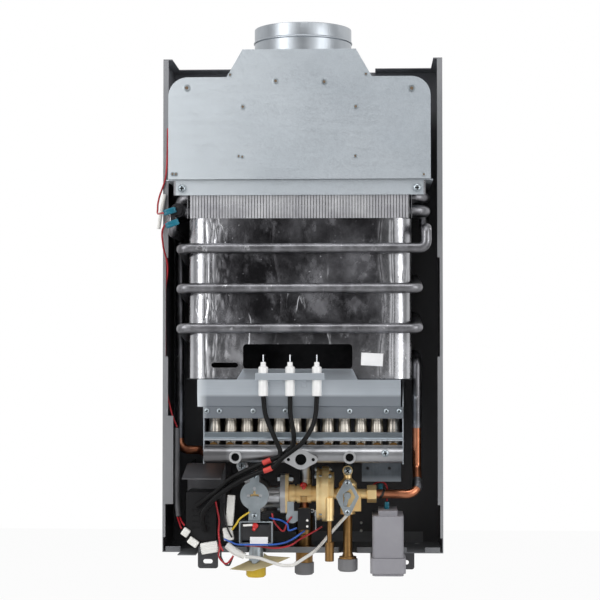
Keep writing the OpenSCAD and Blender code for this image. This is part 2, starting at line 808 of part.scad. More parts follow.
// Cast gas manifold: tube, nozzle bar, two test bosses, a middle flange and the elbow to the gas valve
bar_top = nozzle_z + 3;
arm_x = 4;
boss_x = [-79, 55];
boss_r = 7.4;
boss_z = manifold_z - 2.5;
boss_front = manifold_y - 15;
flange_z = manifold_z - 5;
flange_x = burner_x - 2;
flange_front = manifold_y - 17;
gas_front = valve_axis - 28;
gas_rear = valve_axis + 31;
arm_y = gas_rear - 8;
arm_r = 7.5;
elbow_z = burner_foot - 10.5;
joint_z = valve_z + 16;
module gas_manifold() {
    color("silver") difference() {
        union() {
            rod_x(box_l, box_r, manifold_y, manifold_z, manifold_d / 2);
            block([box_l, nozzle_seat - 8, manifold_z], [box_r, nozzle_seat, bar_top]);
            for (x = boss_x)
                rod_y(boss_front, manifold_y, burner_x + x, boss_z, boss_r);
            panel(flange_front, flange_front + 4) hull() {
                translate([flange_x, flange_z]) circle(11.5, $fn = 32);
                for (s = [-1, 1])
                    translate([flange_x + s * 15, flange_z]) circle(4.6, $fn = 32);
            }
            rod_y(flange_front + 3, manifold_y, flange_x, flange_z, 10);
            rod_y(manifold_y, arm_y, arm_x, elbow_z, arm_r);
            translate([arm_x, arm_y, elbow_z]) sphere(arm_r);
            rod_z(joint_z, elbow_z, arm_x, arm_y, arm_r);
        }
        for (x = boss_x)
            rod_y(boss_front - cut, manifold_y + 4, burner_x + x, boss_z, boss_r - 2.6);
        rod_y(flange_front - cut, manifold_y + 4, flange_x, flange_z, 6.6);
        for (s = [-1, 1])
            rod_y(flange_front - cut, flange_front + 3.5, flange_x + s * 14.5, flange_z, 2);
        for (i = [0:burner_n - 1])
            rod_y(nozzle_seat - 6, nozzle_seat + cut, burner_at(i), nozzle_z, 2.5);
    }
}

// Brass nozzles on the manifold bar, each in front of a burner mouth
module nozzles() {
    color("goldenrod") for (i = [0:burner_n - 1])
        translate([burner_at(i), nozzle_seat, nozzle_z]) rotate([-90, 0, 0]) {
            translate([0, 0, -5.5]) cylinder(r = 2.4, h = 5.5 + eps);
            cylinder(r = 5.8, h = 2.5);
            cylinder(r1 = 4.2, r2 = 2.2, h = 9);
        }
}

// Clamp with three ceramic electrodes in front of the band
ceramic_r = ceramic_d / 2;
ceramic_y = band_front - ceramic_r - 0.2;
ceramic_top = shell_foot + 14;
ceramic_foot = ceramic_top - ceramic_l;
clamp_z = shell_foot - 1;
clamp_t = 1.2;
electrode_x = stack_x - 10;
electrodes_at = [for (s = [-1, 0, 1]) electrode_x + s * electrode_span / 2];
module electrode_bracket() {
    color("silver") {
        block([electrodes_at[0] - 9, ceramic_y - ceramic_r - clamp_t, clamp_z],
              [electrodes_at[2] + 9, ceramic_y - ceramic_r, clamp_z + 8]);
        for (x = [electrodes_at[0] + 16, electrodes_at[1] + 16])
            block([x - 3, ceramic_y - ceramic_r - eps, clamp_z], [x + 3, band_front, clamp_z + 8]);
        block([electrodes_at[0] - 9, band_front - clamp_t, clamp_z - 9],
              [electrodes_at[0] - ceramic_r - 0.3, band_front, clamp_z + 8]);
        block([electrodes_at[0] - 9, ceramic_y - ceramic_r - eps, clamp_z],
              [electrodes_at[0] - ceramic_r - 2, band_front, clamp_z + 8]);
        block([electrodes_at[1] + 13, band_front - clamp_t, clamp_z - 9],
              [electrodes_at[1] + 19, band_front, clamp_z + 8]);
    }
}
module electrodes() {
    color("white") for (x = electrodes_at)
        translate([x, ceramic_y, ceramic_foot]) {
            cylinder(r = ceramic_r, h = ceramic_l);
            translate([0, 0, ceramic_l]) cylinder(r1 = ceramic_r, r2 = ceramic_r * 0.55, h = 1.5);
            translate([0, 0, ceramic_l]) cylinder(r = ceramic_r * 0.55, h = 6);
        }
}
needle_r = 0.9;
needle_z = ceramic_top + 14;
module electrode_needles() {
    color("silver") for (x = electrodes_at) {
        rod_z(ceramic_top + 6, needle_z, x, ceramic_y, needle_r);
        translate([x, ceramic_y, needle_z]) sphere(needle_r);
        rod_y(ceramic_y, stack_front + 12, x, needle_z, needle_r);
    }
}

// Gas valve: casting with a neck to the water side, an inlet boss, screw lobes and an arm to the manifold
gas_r = gas_d / 2;
joint_x = gas_x + 35.5;
lobe_top = valve_z + 23;
lobe_low = valve_z - 24;
inlet_top = valve_z - 30;
stem_r = 5;
module ear_flange() {
    hull() {
        circle(13, $fn = 32);
        for (s = [-1, 1])
            translate([0, s * 17.5]) circle(6.5, $fn = 32);
    }
}
module flange_x_plate(x0, x1) {
    profile(x0, x1) translate([valve_axis, valve_z]) ear_flange();
}
module flange_bolt_holes(x0, x1) {
    for (s = [-1, 1])
        rod_x(x0, x1, valve_axis, valve_z + s * 17.5, 2.6);
}
module gas_valve_body() {
    color("silver") difference() {
        union() {
            rod_y(gas_front, gas_rear, gas_x, valve_z, gas_r);
            rod_y(gas_front, gas_front + 30, gas_x, lobe_top, 5.6);
            block([gas_x - 5.6, gas_front, valve_z], [gas_x + 5.6, gas_front + 30, lobe_top]);
            block([gas_x - 7, gas_front, inlet_top], [gas_x + 7, gas_front + 30, valve_z]);
            rod_z(inlet_top, valve_z, gas_x, valve_axis, 12);
            rod_x(gas_x, joint_x - 5, valve_axis, valve_z, 9);
            flange_x_plate(joint_x - 6, joint_x);
            rod_x(gas_x, arm_x, arm_y, valve_z, arm_r);
            translate([arm_x, arm_y, valve_z]) sphere(arm_r);
            rod_z(valve_z, joint_z, arm_x, arm_y, arm_r);
            hull() {
                rod_y(gas_lug_y - 10, gas_lug_y, gas_lug_x, gas_lug_z, 6.5, $fn = 32);
                rod_y(gas_lug_y - 10, gas_lug_y, gas_x, valve_z, 6.5, $fn = 32);
            }
        }
        rod_y(gas_front - cut, gas_front + 26, gas_x, valve_z, stem_r + play);
        rod_y(gas_lug_y - 11, gas_lug_y - 1, gas_lug_x, gas_lug_z, 2.1);
        rod_x(joint_x - 20, joint_x + cut, valve_axis, valve_z, rod_d / 2 + play);
        flange_bolt_holes(joint_x - 7, joint_x + cut);
    }
}
plate_t = 2;
module gas_valve_plate() {
    color("darkgray") panel(gas_front - plate_t, gas_front) difference() {
        union() {
            translate([gas_x, valve_z]) circle(gas_r);
            translate([gas_x - 5.6, valve_z]) square([11.2, lobe_top - valve_z]);
            translate([gas_x, lobe_top]) circle(5.6);
            translate([gas_x - 7, inlet_top]) square([14, valve_z - inlet_top]);
        }
        for (a = [90, 190, 350])
            translate([gas_x, valve_z + 1]) rotate(a) translate([0, -1.3]) square([8, 2.6]);
        for (a = [90, 190, 350])
            translate([gas_x + 7.5 * cos(a), valve_z + 1 + 7.5 * sin(a)]) circle(1.9);
        for (z = [lobe_top, lobe_low])
            translate([gas_x, z]) circle(2);
    }
}
module gas_spindle() {
    color("goldenrod") rod_y(gas_front + 3, gas_front + 25, gas_x, valve_z, stem_r);
}

// Solenoid under the gas valve: a folded frame and its coil
sol_w = 40;
sol_h = 27;
sol_front = gas_front - 6;
sol_depth = 23;
sol_t = 1.6;
module solenoid_frame() {
    color("silver") difference() {
        block([gas_x - 18, sol_front, inlet_top - sol_h],
              [gas_x - 18 + sol_w, sol_front + sol_depth, inlet_top]);
        block([gas_x - 18 + sol_t, sol_front - cut, inlet_top - sol_h + sol_t],
              [gas_x - 18 + sol_w - sol_t, sol_front + sol_depth - sol_t, inlet_top - sol_t]);
    }
}
module solenoid_coil() {
    color("saddlebrown") {
        profile(gas_x - 18 + sol_t, gas_x - 18 + sol_w - sol_t)
            translate([sol_front + sol_depth / 2, inlet_top - sol_h / 2]) rounded(18.5, sol_h - 5, 4);
        for (x = [gas_x - 18 + sol_t, gas_x - 18 + sol_w - sol_t - 2])
            block([x, sol_front + 1, inlet_top - sol_h + sol_t],
                  [x + 2, sol_front + sol_depth - sol_t, inlet_top - sol_t]);
    }
}

// Threaded connections under the case, each with a push-on cap
thread_r = thread_d / 2;
cap_r = cap_d / 2;
gas_cap_top = floor_z - 13;
water_cap_top = floor_z - 5.5;
hot_cap_top = floor_z - 15.5;
cap_floor = 2;
module push_cap(x, y, top) {
    difference() {
        union() {
            rod_z(top - cap_h + 1.5, top, x, y, cap_r);
            rod_z(top - cap_h, top - cap_h + 1.5 + eps, x, y, cap_r - 1.5);
        }
        rod_z(top - cap_h + cap_floor, top + cut, x, y, thread_r + play);
    }
}
module thread_end(x, y, z, top) {
    rod_z(top - cap_h + cap_floor + play, z, x, y, thread_r);
}
module gas_inlet() {
    color("silver") {
        rod_z(gas_cap_top, inlet_top, gas_x, valve_axis, 8.6);
        thread_end(gas_x, valve_axis, gas_cap_top + 3, gas_cap_top);
        rod_y(valve_axis - 13, valve_axis, gas_x - 1, floor_z - 7, 3.4);
    }
}
module gas_cap() {
    color("gold") push_cap(gas_x, valve_axis, gas_cap_top);
}
module water_inlet() {
    color("tan") {
        rod_z(water_cap_top, valve_z - 24, water_x, valve_axis, 5.6);
        translate([water_x, valve_axis, floor_z - 3]) cylinder(r1 = 7.2, r2 = 5.6, h = 5);
        thread_end(water_x, valve_axis, floor_z - 2.9, water_cap_top);
    }
}
module water_cap() {
    color("gray") push_cap(water_x, valve_axis, water_cap_top);
}
module hot_outlet() {
    color("peru") difference() {
        union() {
            thread_end(outlet_x, outlet_y, floor_top + 4, hot_cap_top);
            rod_z(floor_top, floor_top + 4, outlet_x, outlet_y, thread_r + 2.5);
            rod_z(floor_top + 3, floor_top + 22, outlet_x, outlet_y, 9);
            rod_z(floor_top + 18, valve_z - 34 + 4, outlet_x, outlet_y, 10.5);
        }
        rod_z(valve_z - 34, valve_z - 28, outlet_x, outlet_y, pipe_d / 2 + 0.1);
    }
}
module hot_cap() {
    color("gray") push_cap(outlet_x, outlet_y, hot_cap_top);
}

// Paper tag folded round the gas inlet
tag_t = 0.6;
module gas_tag() {
    color("tan") difference() {
        translate([gas_x, valve_axis, gas_cap_top + 10.4]) rotate([38, -11, 0]) linear_extrude(tag_t)
            polygon([
            [-33, -15.5], [-6, -25], [13, -22.5], [41, -15.5], [14, -4.5], [8, 4], [-8, 4], [-8, -6]
        ]);
        rod_z(gas_cap_top, inlet_top, gas_x, valve_axis, 9);
        rod_z(gas_cap_top, gas_cap_top + 3.3, gas_x, valve_axis, thread_r + play);
        rod_y(valve_axis - 14, valve_axis, gas_x - 1, floor_z - 7, 4.2);
    }
}

// Water side: brass neck with the first half of the diaphragm housing
house_l = joint_x + 38;
house_mid = house_l + half_t;
house_r = house_mid + diaphragm_t + half_t;
house_rad = diaphragm_d / 2;
neck_r = 9.6;
chamber_t = 6;
seat_r = house_rad - 1.5;
bolt_ring = house_rad - 3.8;
bolt_angles = [50, 90, 130, 230, 270, 310];
module house_bolt_holes() {
    for (a = bolt_angles)
        rod_x(house_l - cut, house_r + cut, valve_axis + bolt_ring * cos(a),
              valve_z + bolt_ring * sin(a), 1.7);
}
module valve_neck() {
    color("goldenrod") difference() {
        union() {
            flange_x_plate(joint_x, joint_x + 4);
            rod_x(joint_x + 4 - eps, house_l + eps, valve_axis, valve_z, neck_r);
            rod_x(joint_x + 5, joint_x + 11, valve_axis, valve_z, neck_r + 1.5);
            rod_x(joint_x + 14, joint_x + 18, valve_axis, valve_z, neck_r + 1.8);
            rod_x(joint_x + 27, joint_x + 31, valve_axis, valve_z, neck_r + 1.8);
            rod_x(joint_x + 18, joint_x + 27, valve_axis, valve_z, neck_r + 0.8);
            rod_x(house_l, house_l + 3, valve_axis, valve_z, house_rad - 1.5);
            rod_x(house_l + 2.5, house_mid - 2.5, valve_axis, valve_z, house_rad - 3);
            rod_x(house_mid - 3, house_mid, valve_axis, valve_z, house_rad);
        }
        rod_x(joint_x - cut, house_mid + cut, valve_axis, valve_z, rod_d / 2 + play);
        rod_x(house_mid - chamber_t, house_mid + cut, valve_axis, valve_z, house_rad - 8);
        block([joint_x + 18.5, valve_axis - 20, valve_z - 20], [joint_x + 26.5, valve_axis, valve_z - 2]);
        flange_bolt_holes(joint_x - cut, joint_x + 5);
        house_bolt_holes();
    }
}
module diaphragm() {
    color("black") difference() {
        rod_x(house_mid, house_mid + diaphragm_t, valve_axis, valve_z, seat_r - 0.1);
        house_bolt_holes();
    }
}

// Brass water section: second half of the housing, tee with its lug, drain boss and inlet neck
tee_r = 12.5;
tee_front = valve_axis - 24;
plate_gap = 5;
plate_rear = tee_front - plate_gap;
post_top = 15.5;
post_low = -19;
drain_x = (house_mid + diaphragm_t + house_r) / 2;
drain_y = valve_axis - house_rad + 1.5;
drain_seat = valve_z - 29;
drain_r = half_t / 2 - 0.1;
module water_section() {
    color("goldenrod") difference() {
        union() {
            rod_x(house_mid, house_mid + diaphragm_t + 3.5, valve_axis, valve_z, house_rad);
            rod_x(house_mid + diaphragm_t + 3, house_r, valve_axis, valve_z, house_rad - 7);
            rod_x(house_r - eps, water_x, valve_axis, valve_z, 6.5);
            rod_x(house_r + 3, house_r + 6, valve_axis, valve_z, 8);
            rod_y(tee_front, valve_axis + 13, water_x, valve_z, tee_r);
            rod_z(valve_z, valve_z + 13, water_x, valve_axis, 10.8);
            translate([water_x, valve_axis, valve_z + 13 - eps]) cylinder(r1 = 10.8, r2 = 5, h = 6);
            rod_z(valve_z + 18, water_lug_z, water_x, valve_axis, 4.8);
            rod_y(water_lug_y - 10, water_lug_y, water_x, water_lug_z, 6);
            rod_x(water_x, nut_l, valve_axis, valve_z, 6);
            rod_z(valve_z - 24, valve_z, water_x, valve_axis, 9);
            block([water_x + 4, valve_axis - 10, valve_z - 20], [water_x + 16, valve_axis + 8, valve_z]);
            for (h = [post_top, post_low])
                rod_y(plate_rear, valve_axis, water_x, valve_z + h, 3.2);
            rod_z(drain_seat, valve_z - 2, drain_x, drain_y, drain_r);
            block([drain_x - drain_r, drain_y, valve_z - 18], [drain_x + drain_r, valve_axis, valve_z - 2]);
        }
        rod_x(house_mid - cut, house_mid + diaphragm_t, valve_axis, valve_z, seat_r);
        rod_x(house_mid + diaphragm_t - cut, house_mid + diaphragm_t + 3, valve_axis, valve_z,
              house_rad - 8);
        rod_y(tee_front - cut, tee_front + 18, water_x, valve_z, 4 + play);
        rod_z(drain_seat - cut, drain_seat + 10, drain_x, drain_y, 2.2 + play);
        rod_y(water_lug_y - 11, water_lug_y - 1, water_x, water_lug_z, 2.1);
        house_bolt_holes();
    }
}

// Diamond plate in front of the tee, with an opening for the control lever
module control_plate() {
    color("darkgray") panel(plate_rear - plate_t, plate_rear) translate([water_x, valve_z]) difference() {
        hull() {
            translate([0, post_top]) circle(4.2, $fn = 32);
            translate([0, post_low]) circle(4.6, $fn = 32);
            for (s = [-1, 1])
                translate([s * 11.5, -1]) circle(2, $fn = 32);
        }
        polygon([[-5, 2], [4, 9], [9.5, -1], [2.5, -13], [-5, -12]]);
        for (h = [post_top, post_low])
            translate([0, h]) circle(1.6);
    }
}
module water_spindle() {
    color("silver") {
        rod_y(plate_rear + 1, tee_front + 17, water_x, valve_z, 4);
        translate([water_x, plate_rear + 1, valve_z]) rotate([0, 15, 0])
            block([-2.4, 0, -13], [2.4, 2.6, 0]);
    }
}

// Drain screw with a knurled end
module drain_plug() {
    color("peru") {
        rod_z(drain_seat - play, drain_seat + 9, drain_x, drain_y, 2.2);
        rod_z(drain_seat - 26, drain_seat - play, drain_x, drain_y, 2.8);
        translate([drain_x, drain_y, drain_seat - 48]) cylinder(r = 5.3, h = 22.5, $fn = 12);
    }
}

// Bolts of the flange and of the diaphragm housing, and the screws of the two lugs
module valve_bolts() {
    color("dimgray") {
        for (s = [-1, 1]) {
            z = valve_z + s * 17.5;
            rod_x(joint_x - 9, joint_x + 10, valve_axis, z, 2.5);
            translate([joint_x + 4, valve_axis, z]) rotate([0, 90, 0]) cylinder(r = 4.6, h = 5, $fn = 6);
            translate([joint_x - 9.5, valve_axis, z]) rotate([0, 90, 0]) cylinder(r = 4.6, h = 3.5,
                  $fn = 6);
        }
        for (a = bolt_angles) {
            y = valve_axis + bolt_ring * cos(a);
            z = valve_z + bolt_ring * sin(a);
            rod_x(house_l - 2.4, house_mid + diaphragm_t + 7, y, z, 1.6);
            rod_x(house_l - 2.4, house_l, y, z, 2.8);
            rod_x(house_mid + diaphragm_t + 3.5, house_mid + diaphragm_t + 6, y, z, 2.8);
        }
        screw(gas_lug_x, gas_lug_y - 10, gas_lug_z, 5, 2, 8.5);
        screw(water_x, water_lug_y - 10, water_lug_z, 5, 2, 8.5);
        for (h = [post_top, post_low])
            screw(water_x, plate_rear - plate_t, valve_z + h, 3, 1.5, plate_t - 0.1);
        for (z = [lobe_top, lobe_low])
            screw(gas_x, gas_front - plate_t, z, 3.4, 1.9, plate_t - 0.1);
    }
}

// Rod with a round head that the diaphragm pushes towards the gas valve
module linkage_rod() {
    color("silver") {
        rod_x(joint_x - 13, house_mid - 1, valve_axis, valve_z, rod_d / 2);
        rod_x(house_mid - 1.8, house_mid - play, valve_axis, valve_z, house_rad - 9);
    }
}

// Bracket on the flange with the microswitch and its sprung leaf
switch_front = valve_axis - 50;
switch_l = joint_x + 17;
switch_w = 14.5;
switch_h = 25;
switch_top = valve_z - 13;
leaf_pin_x = switch_l + switch_w + 2.4;
leaf_pin_z = switch_top - 3;
module switch_bracket() {
    color("darkgray") {
        block([joint_x + 4, switch_front + 10, valve_z - 30], [joint_x + 5.2, valve_axis, valve_z - 22.5]);
        panel(switch_front + 10, switch_front + 11.2) {
            translate([joint_x + 4, valve_z - 24]) square([8, 18]);
            translate([joint_x + 10, valve_z - 24]) circle(7.5);
            translate([joint_x + 10, valve_z - 29]) square([switch_l + switch_w - joint_x - 11, 12]);
        }
    }
}
module microswitch() {
    color("black") difference() {
        union() {
            block([switch_l, switch_front, switch_top - switch_h],
                  [switch_l + switch_w, switch_front + 10, switch_top]);
            rod_y(switch_front + 1, switch_front + 9, leaf_pin_x, leaf_pin_z, 1.1);
            block([switch_l + switch_w - eps, switch_front + 1, leaf_pin_z - 1],
                  [leaf_pin_x, switch_front + 2.2, leaf_pin_z + 1]);
            block([switch_l + switch_w - eps, switch_front + 7.8, leaf_pin_z - 1],
                  [leaf_pin_x, switch_front + 9, leaf_pin_z + 1]);
        }
        for (z = [switch_top - 14, switch_top - 21])
            rod_y(switch_front - cut, switch_front + 2, switch_l + switch_w - 3.4, z, 1.5);
    }
}
module switch_leaf() {
    color("silver") difference() {
        union() {
            rod_y(switch_front + 2.6, switch_front + 7.4, leaf_pin_x, leaf_pin_z, 2);
            block([leaf_pin_x, switch_front + 2.6, leaf_pin_z - 0.4],
                  [leaf_pin_x + 4.5, switch_front + 7.4, leaf_pin_z + 0.4]);
            block([leaf_pin_x + 3.7, switch_front + 2.6, leaf_pin_z - 22],
                  [leaf_pin_x + 4.5, switch_front + 7.4, leaf_pin_z + 0.4]);
        }
        rod_y(switch_front + 2, switch_front + 8, leaf_pin_x, leaf_pin_z, 1.15);
    }
}

// Galvanised drip plate under the burners and the folded shield that carries the ignition controller
drip_l = box_r - 48;
drip_y = bar_front + bar_w;
module drip_plate() {
    color("lightsteelblue") difference() {
        union() {
            block([drip_l, drip_y - bracket_t, valve_z + 15], [box_r - 1, drip_y, burner_foot - box_t]);
            block([drip_l, drip_y - bar_w, burner_foot - box_t - bracket_t],
                  [box_r - 1, drip_y, burner_foot - box_t]);
        }
        for (x = [drip_l + 7, drip_l + 33])
            rod_y(drip_y - 3, drip_y + 1, x, valve_z + 31, 1.8);
    }
}
shield_l = -142;
shield_r = -95;
shield_y = -88;
shield_front = -150;
shield_z = valve_z + 19;
shield_rise = 14;
module controller_shield() {
    color("dimgray") {
        profile(shield_l, shield_r) polygon([
            [shield_front, shield_z],
            [shield_y, shield_z + shield_rise],
            [shield_y, shield_z + shield_rise + bracket_t],
            [shield_front, shield_z + bracket_t]
        ]);
        block([shield_l, shield_y, floor_z + 20],
              [shield_r, shield_y + bracket_t, shield_z + shield_rise + bracket_t]);
        for (x = [shield_l, shield_r - bracket_t])
            block([x, shield_y, floor_z + 20], [x + bracket_t, -case_t, run_z - pipe_d]);
    }
}
ctrl_l = shield_l + 4;
ctrl_foot = floor_z + 17;
module ignition_controller() {
    color("black") difference() {
        union() {
            block([ctrl_l, shield_y - ctrl_d, ctrl_foot], [ctrl_l + ctrl_w, shield_y, ctrl_foot + ctrl_h]);
            block([ctrl_l - 2, shield_y - ctrl_d + 6, ctrl_foot + 4],
                  [ctrl_l + ctrl_w + 2, shield_y - 6, ctrl_foot + 7]);
        }
        for (z = [ctrl_foot + 14:7:ctrl_foot + 35])
            block([ctrl_l + 8, shield_y - ctrl_d - cut, z],
                  [ctrl_l + ctrl_w - 8, shield_y - ctrl_d + 0.8, z + 2.5]);
    }
}

// Battery box through the bottom plate, its pull-off lid and two cells
bat_foot = floor_z - 1;
bat_r_out = 5;
lid_grow = 2.6;
bat_mid = (bat_front + bat_rear) / 2;
module bat_prism(w, d, z0, z1, r) {
    translate([bat_x, bat_mid, z0]) linear_extrude(z1 - z0) rounded(w, d, r);
}
module battery_box() {
    color("darkgray") {
        difference() {
            bat_prism(bat_w, bat_depth, bat_foot, bat_foot + bat_h, bat_r_out);
            bat_prism(bat_w - 2 * bat_t, bat_depth - 2 * bat_t, bat_foot - cut,
                  bat_foot + bat_h - bat_t, bat_r_out - 1);
        }
        bat_prism(bat_w * 0.62, bat_depth * 0.8, bat_foot + bat_h - eps, bat_foot + bat_h + 6, 2);
        for (s = [-1, 1])
            translate([bat_x + s * (bat_w / 2 + 1.9), -case_d + 20, floor_top])
                translate([-2, -8, 0]) cube([4, 16, 3]);
    }
}
module battery_lid() {
    color("darkgray") difference() {
        union() {
            bat_prism(bat_w + 2 * lid_grow, bat_depth + 2 * lid_grow, bat_foot - bat_lid_h + 3,
                  bat_foot - play, 6);
            bat_prism(bat_w + 2 * lid_grow - 5, bat_depth + 2 * lid_grow - 5, bat_foot - bat_lid_h,
                  bat_foot - bat_lid_h + 3, 5);
        }
        bat_prism(bat_w - 2 * bat_t, bat_depth - 2 * bat_t, bat_foot - bat_lid_h + 2, bat_foot + cut,
              bat_r_out - 1);
    }
}
module batteries() {
    color("navy") for (s = [-1, 1])
        translate([bat_x, bat_mid + s * (cell_d / 2 + 0.5), bat_foot - bat_lid_h + 2]) {
            cylinder(d = cell_d, h = cell_l - 1.5);
            translate([0, 0, cell_l - 1.5 - eps]) cylinder(d = 9, h = 1.5 + eps);
        }
}

// Plugs of the harness, and the blades on the thermostat and the battery box
plugs = [
    [[-138, -44.5], [9, 9], 35],
    [[-129, -56], [13, 8], 35],
    [[-109.6, -62.4], [21, 13], -10],
    [[-84.5, -18], [9.5, 36], 4],
    [[-87, -46], [12, 15], -8],
    [[-40.5, -24.4], [15, 10.4], 0]
];
plug_d = 8;
plug_y = shield_y - ctrl_d - play;
module connectors() {
    color("white") {
        for (p = plugs)
            translate([p[0][0], plug_y - plug_d / 2, valve_z + p[0][1]]) rotate([0, p[2], 0])
                cube([p[1][0], plug_d, p[1][1]], center = true);
        for (s = [0, 1])
            translate([thermo_x - 5 - s * 3, thermo_rear - 14, low_z - 2 - s * 13]) cube([7, 4, 9],
                  center = true);
        translate([bat_x - 1, bat_mid, bat_foot + bat_h + 10]) cube([6, 5, 8], center = true);
        translate([bat_x - 8.5, valve_axis + 14, valve_z + 7]) cube([6, 4, 8], center = true);
    }
}

// Routes of the leads and wires, point by point, as they run between their plugs
lead_d0 = ceramic_foot - 0.7;
lead_routes = [
    [
        [electrodes_at[0], ceramic_y, lead_d0], [-40.6, -174, -131], [-32, -180, -152],
        [-22.9, -183, -172.8], [-24, -183, -179.6], [-32.7, -182.5, -182.6], [-60.2, -178, -194.6],
        [-81.7, -171, -205.8], [-98.4, -161, -220.9], [-124.5, -141.4, -241]
    ],
    [
        [electrodes_at[1], ceramic_y, lead_d0], [-11.3, -174, -131], [-7.2, -179, -153.8],
        [-8, -178, -165.5], [-14.5, -177, -172.5], [-23.5, -176.3, -178.9], [-33.5, -174.5, -184.3],
        [-60.7, -171, -198], [-82.3, -163.6, -212.4], [-99.3, -154.6, -229.4], [-122, -141.4, -249]
    ],
    [
        [electrodes_at[2], ceramic_y, lead_d0], [18.1, -175, -131], [13.1, -184, -147.4],
        [3, -190, -162.7], [-7.4, -190.5, -171.2], [-19.9, -189, -180.5], [-32.5, -186, -192.1],
        [-49.4, -183, -198.5], [-70.8, -177, -208.5], [-92.5, -168, -223.2], [-107.1, -160, -236.3],
        [-116.9, -153, -251.8], [-114.5, -141.4, -271]
    ]
];
module ignition_leads() {
    color("black") for (r = lead_routes)
        tube(r, lead_d, 8);
}
sleeve_route = [[-153, -104, -150], [-153, -104, -190], [-153, -104, -230], [-150.5, -106, -257]];
boot_route = [[-89, -142, -287], [-79, -143, -294.5], [-67.5, -142, -300.5]];
module cable_sleeves() {
    color("dimgray") {
        tube(sleeve_route, 7, 8);
        tube(boot_route, 9, 8);
    }
}
wire_d = 2.2;
red_routes = [
    [
        [-157.8, -153.7, 110], [-168, -142, 109], [-176, -118, 112], [-174.5, -113, 130],
        [-166, -111.6, 160], [-164, -111.6, 215]
    ],
    [
        [-160.8, -153.7, 97], [-166, -140, 80], [-164.5, -118, 55], [-164, -104, 20], [-163, -100, -90],
        [-153, -104, -149.4]
    ],
    [[-152, -106, -258.4], [-148, -122, -262.5], [-143.5, -141, -267.5]],
    [[-149, -106, -258.2], [-145, -124, -261], [-140, -141, -263.9]],
    [[-103, -139.5, -234], [-98, -143, -257], [-98.5, -144, -272], [-96.5, -146, -286], [-93, -147, -294]],
    [
        [-98.2, -143, -286.6], [-96.8, -146, -290.5], [-98, -148, -299], [-94, -149, -305.5],
        [-88, -149, -308.5], [-80.5, -146, -299.6]
    ],
    [
        [-67, -148, -286.7], [-48, -150, -288], [-30.5, -152, -289.5], [-13, -150, -286.5],
        [-1.5, -146, -279.5], [13, -142, -272], [24.5, -138, -265.5]
    ],
    [
        [-34.5, -147.9, -249], [-32, -151, -258], [-22.5, -152, -269], [-19, -157, -267],
        [-16, -161, -259], [-10.5, -159.8, -251.5]
    ],
    [
        [84, -104, -221], [88, -104, -216.5], [94.5, -104, -214.4], [100, -104.5, -217],
        [102.6, -107, -223], [102.6, -112, -231], [102, -114.3, -236.9]
    ]
];
control_routes = [
    [
        [-91.5, -148, -279.5], [-83, -152, -282.5], [-72, -157, -285], [-36.5, -157, -285],
        [-15, -156, -281], [5, -162, -267.6]
    ],
    [[-82, -147.9, -268.5], [-77, -152, -262], [-71.5, -154.5, -254], [-61.5, -149.6, -247.5]],
    [[-92.5, -141, -237.5], [-90.5, -148, -252.5], [-87, -148, -268], [-82, -148, -277.5]],
    [
        [-37, -147.9, -254], [-33, -155, -254.5], [-23.5, -158, -256], [-15.5, -165.5, -260],
        [-13.5, -165, -267], [-4.4, -163, -264.5]
    ],
    [
        [-97.8, -141.5, -290.7], [-96, -143, -294.5], [-95.5, -144, -301.5], [-91, -144, -309.5],
        [-86, -144, -311], [-81.2, -142.5, -300.4]
    ]
];
sensor_route = [
    [-66.4, -142, -301.1], [-51.5, -144, -302], [-37, -145, -306.5], [-21.5, -145, -311], [-11, -144, -311],
    [2, -142, -303.5], [17.5, -138, -293], [31.5, -132, -277.5], [45, -134, -262], [54.3, -138, -251.8]
];
module red_wires() {
    color("firebrick") for (r = red_routes)
        tube(r, wire_d, 8);
}
module control_wires() {
    color("royalblue") for (r = control_routes)
        tube(r, wire_d, 8);
}
module sensor_cable() {
    color("whitesmoke") tube(sensor_route, 4, 8);
}

chassis();
bottom_plate();
wall_brackets();
flue_collar();
draft_hood();
hood_front_plate();
hood_base();
sheet_screws();
fin_pack();
fin_tubes();
exchanger_shell();
coil_tube();
hot_pipe();
supply_pipe();
union_nut();
overheat_thermostat();
connectors();
burner_box();
burner_front_plate();
burners();
burner_rail();
gas_manifold();
nozzles();
electrode_bracket();
electrodes();
electrode_needles();
ignition_leads();
cable_sleeves();
gas_valve_body();
gas_valve_plate();
gas_spindle();
solenoid_frame();
solenoid_coil();
gas_inlet();
gas_cap();
gas_tag();
valve_neck();
diaphragm();
water_section();
control_plate();
water_spindle();
drain_plug();
water_inlet();
water_cap();
hot_outlet();
hot_cap();
valve_bolts();
linkage_rod();
switch_bracket();
microswitch();
switch_leaf();
drip_plate();
controller_shield();
ignition_controller();
battery_box();
battery_lid();
batteries();
red_wires();
control_wires();
sensor_cable();
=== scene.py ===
import math

import bmesh
import bpy
import numpy as np
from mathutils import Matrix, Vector


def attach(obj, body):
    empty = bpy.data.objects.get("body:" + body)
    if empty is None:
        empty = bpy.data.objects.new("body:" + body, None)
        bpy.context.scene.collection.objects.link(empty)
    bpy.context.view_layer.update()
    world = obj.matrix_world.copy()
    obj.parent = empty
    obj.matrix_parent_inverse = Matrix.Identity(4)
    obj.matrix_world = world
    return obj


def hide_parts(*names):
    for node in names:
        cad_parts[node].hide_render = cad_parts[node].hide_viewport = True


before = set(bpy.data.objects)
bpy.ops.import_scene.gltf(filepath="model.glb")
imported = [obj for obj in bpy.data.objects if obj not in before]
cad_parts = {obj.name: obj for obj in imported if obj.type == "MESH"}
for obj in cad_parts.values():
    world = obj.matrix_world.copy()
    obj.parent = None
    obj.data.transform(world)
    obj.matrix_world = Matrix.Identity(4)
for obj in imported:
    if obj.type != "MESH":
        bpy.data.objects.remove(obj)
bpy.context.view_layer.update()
scene = bpy.context.scene
scene.view_settings.view_transform = "Standard"
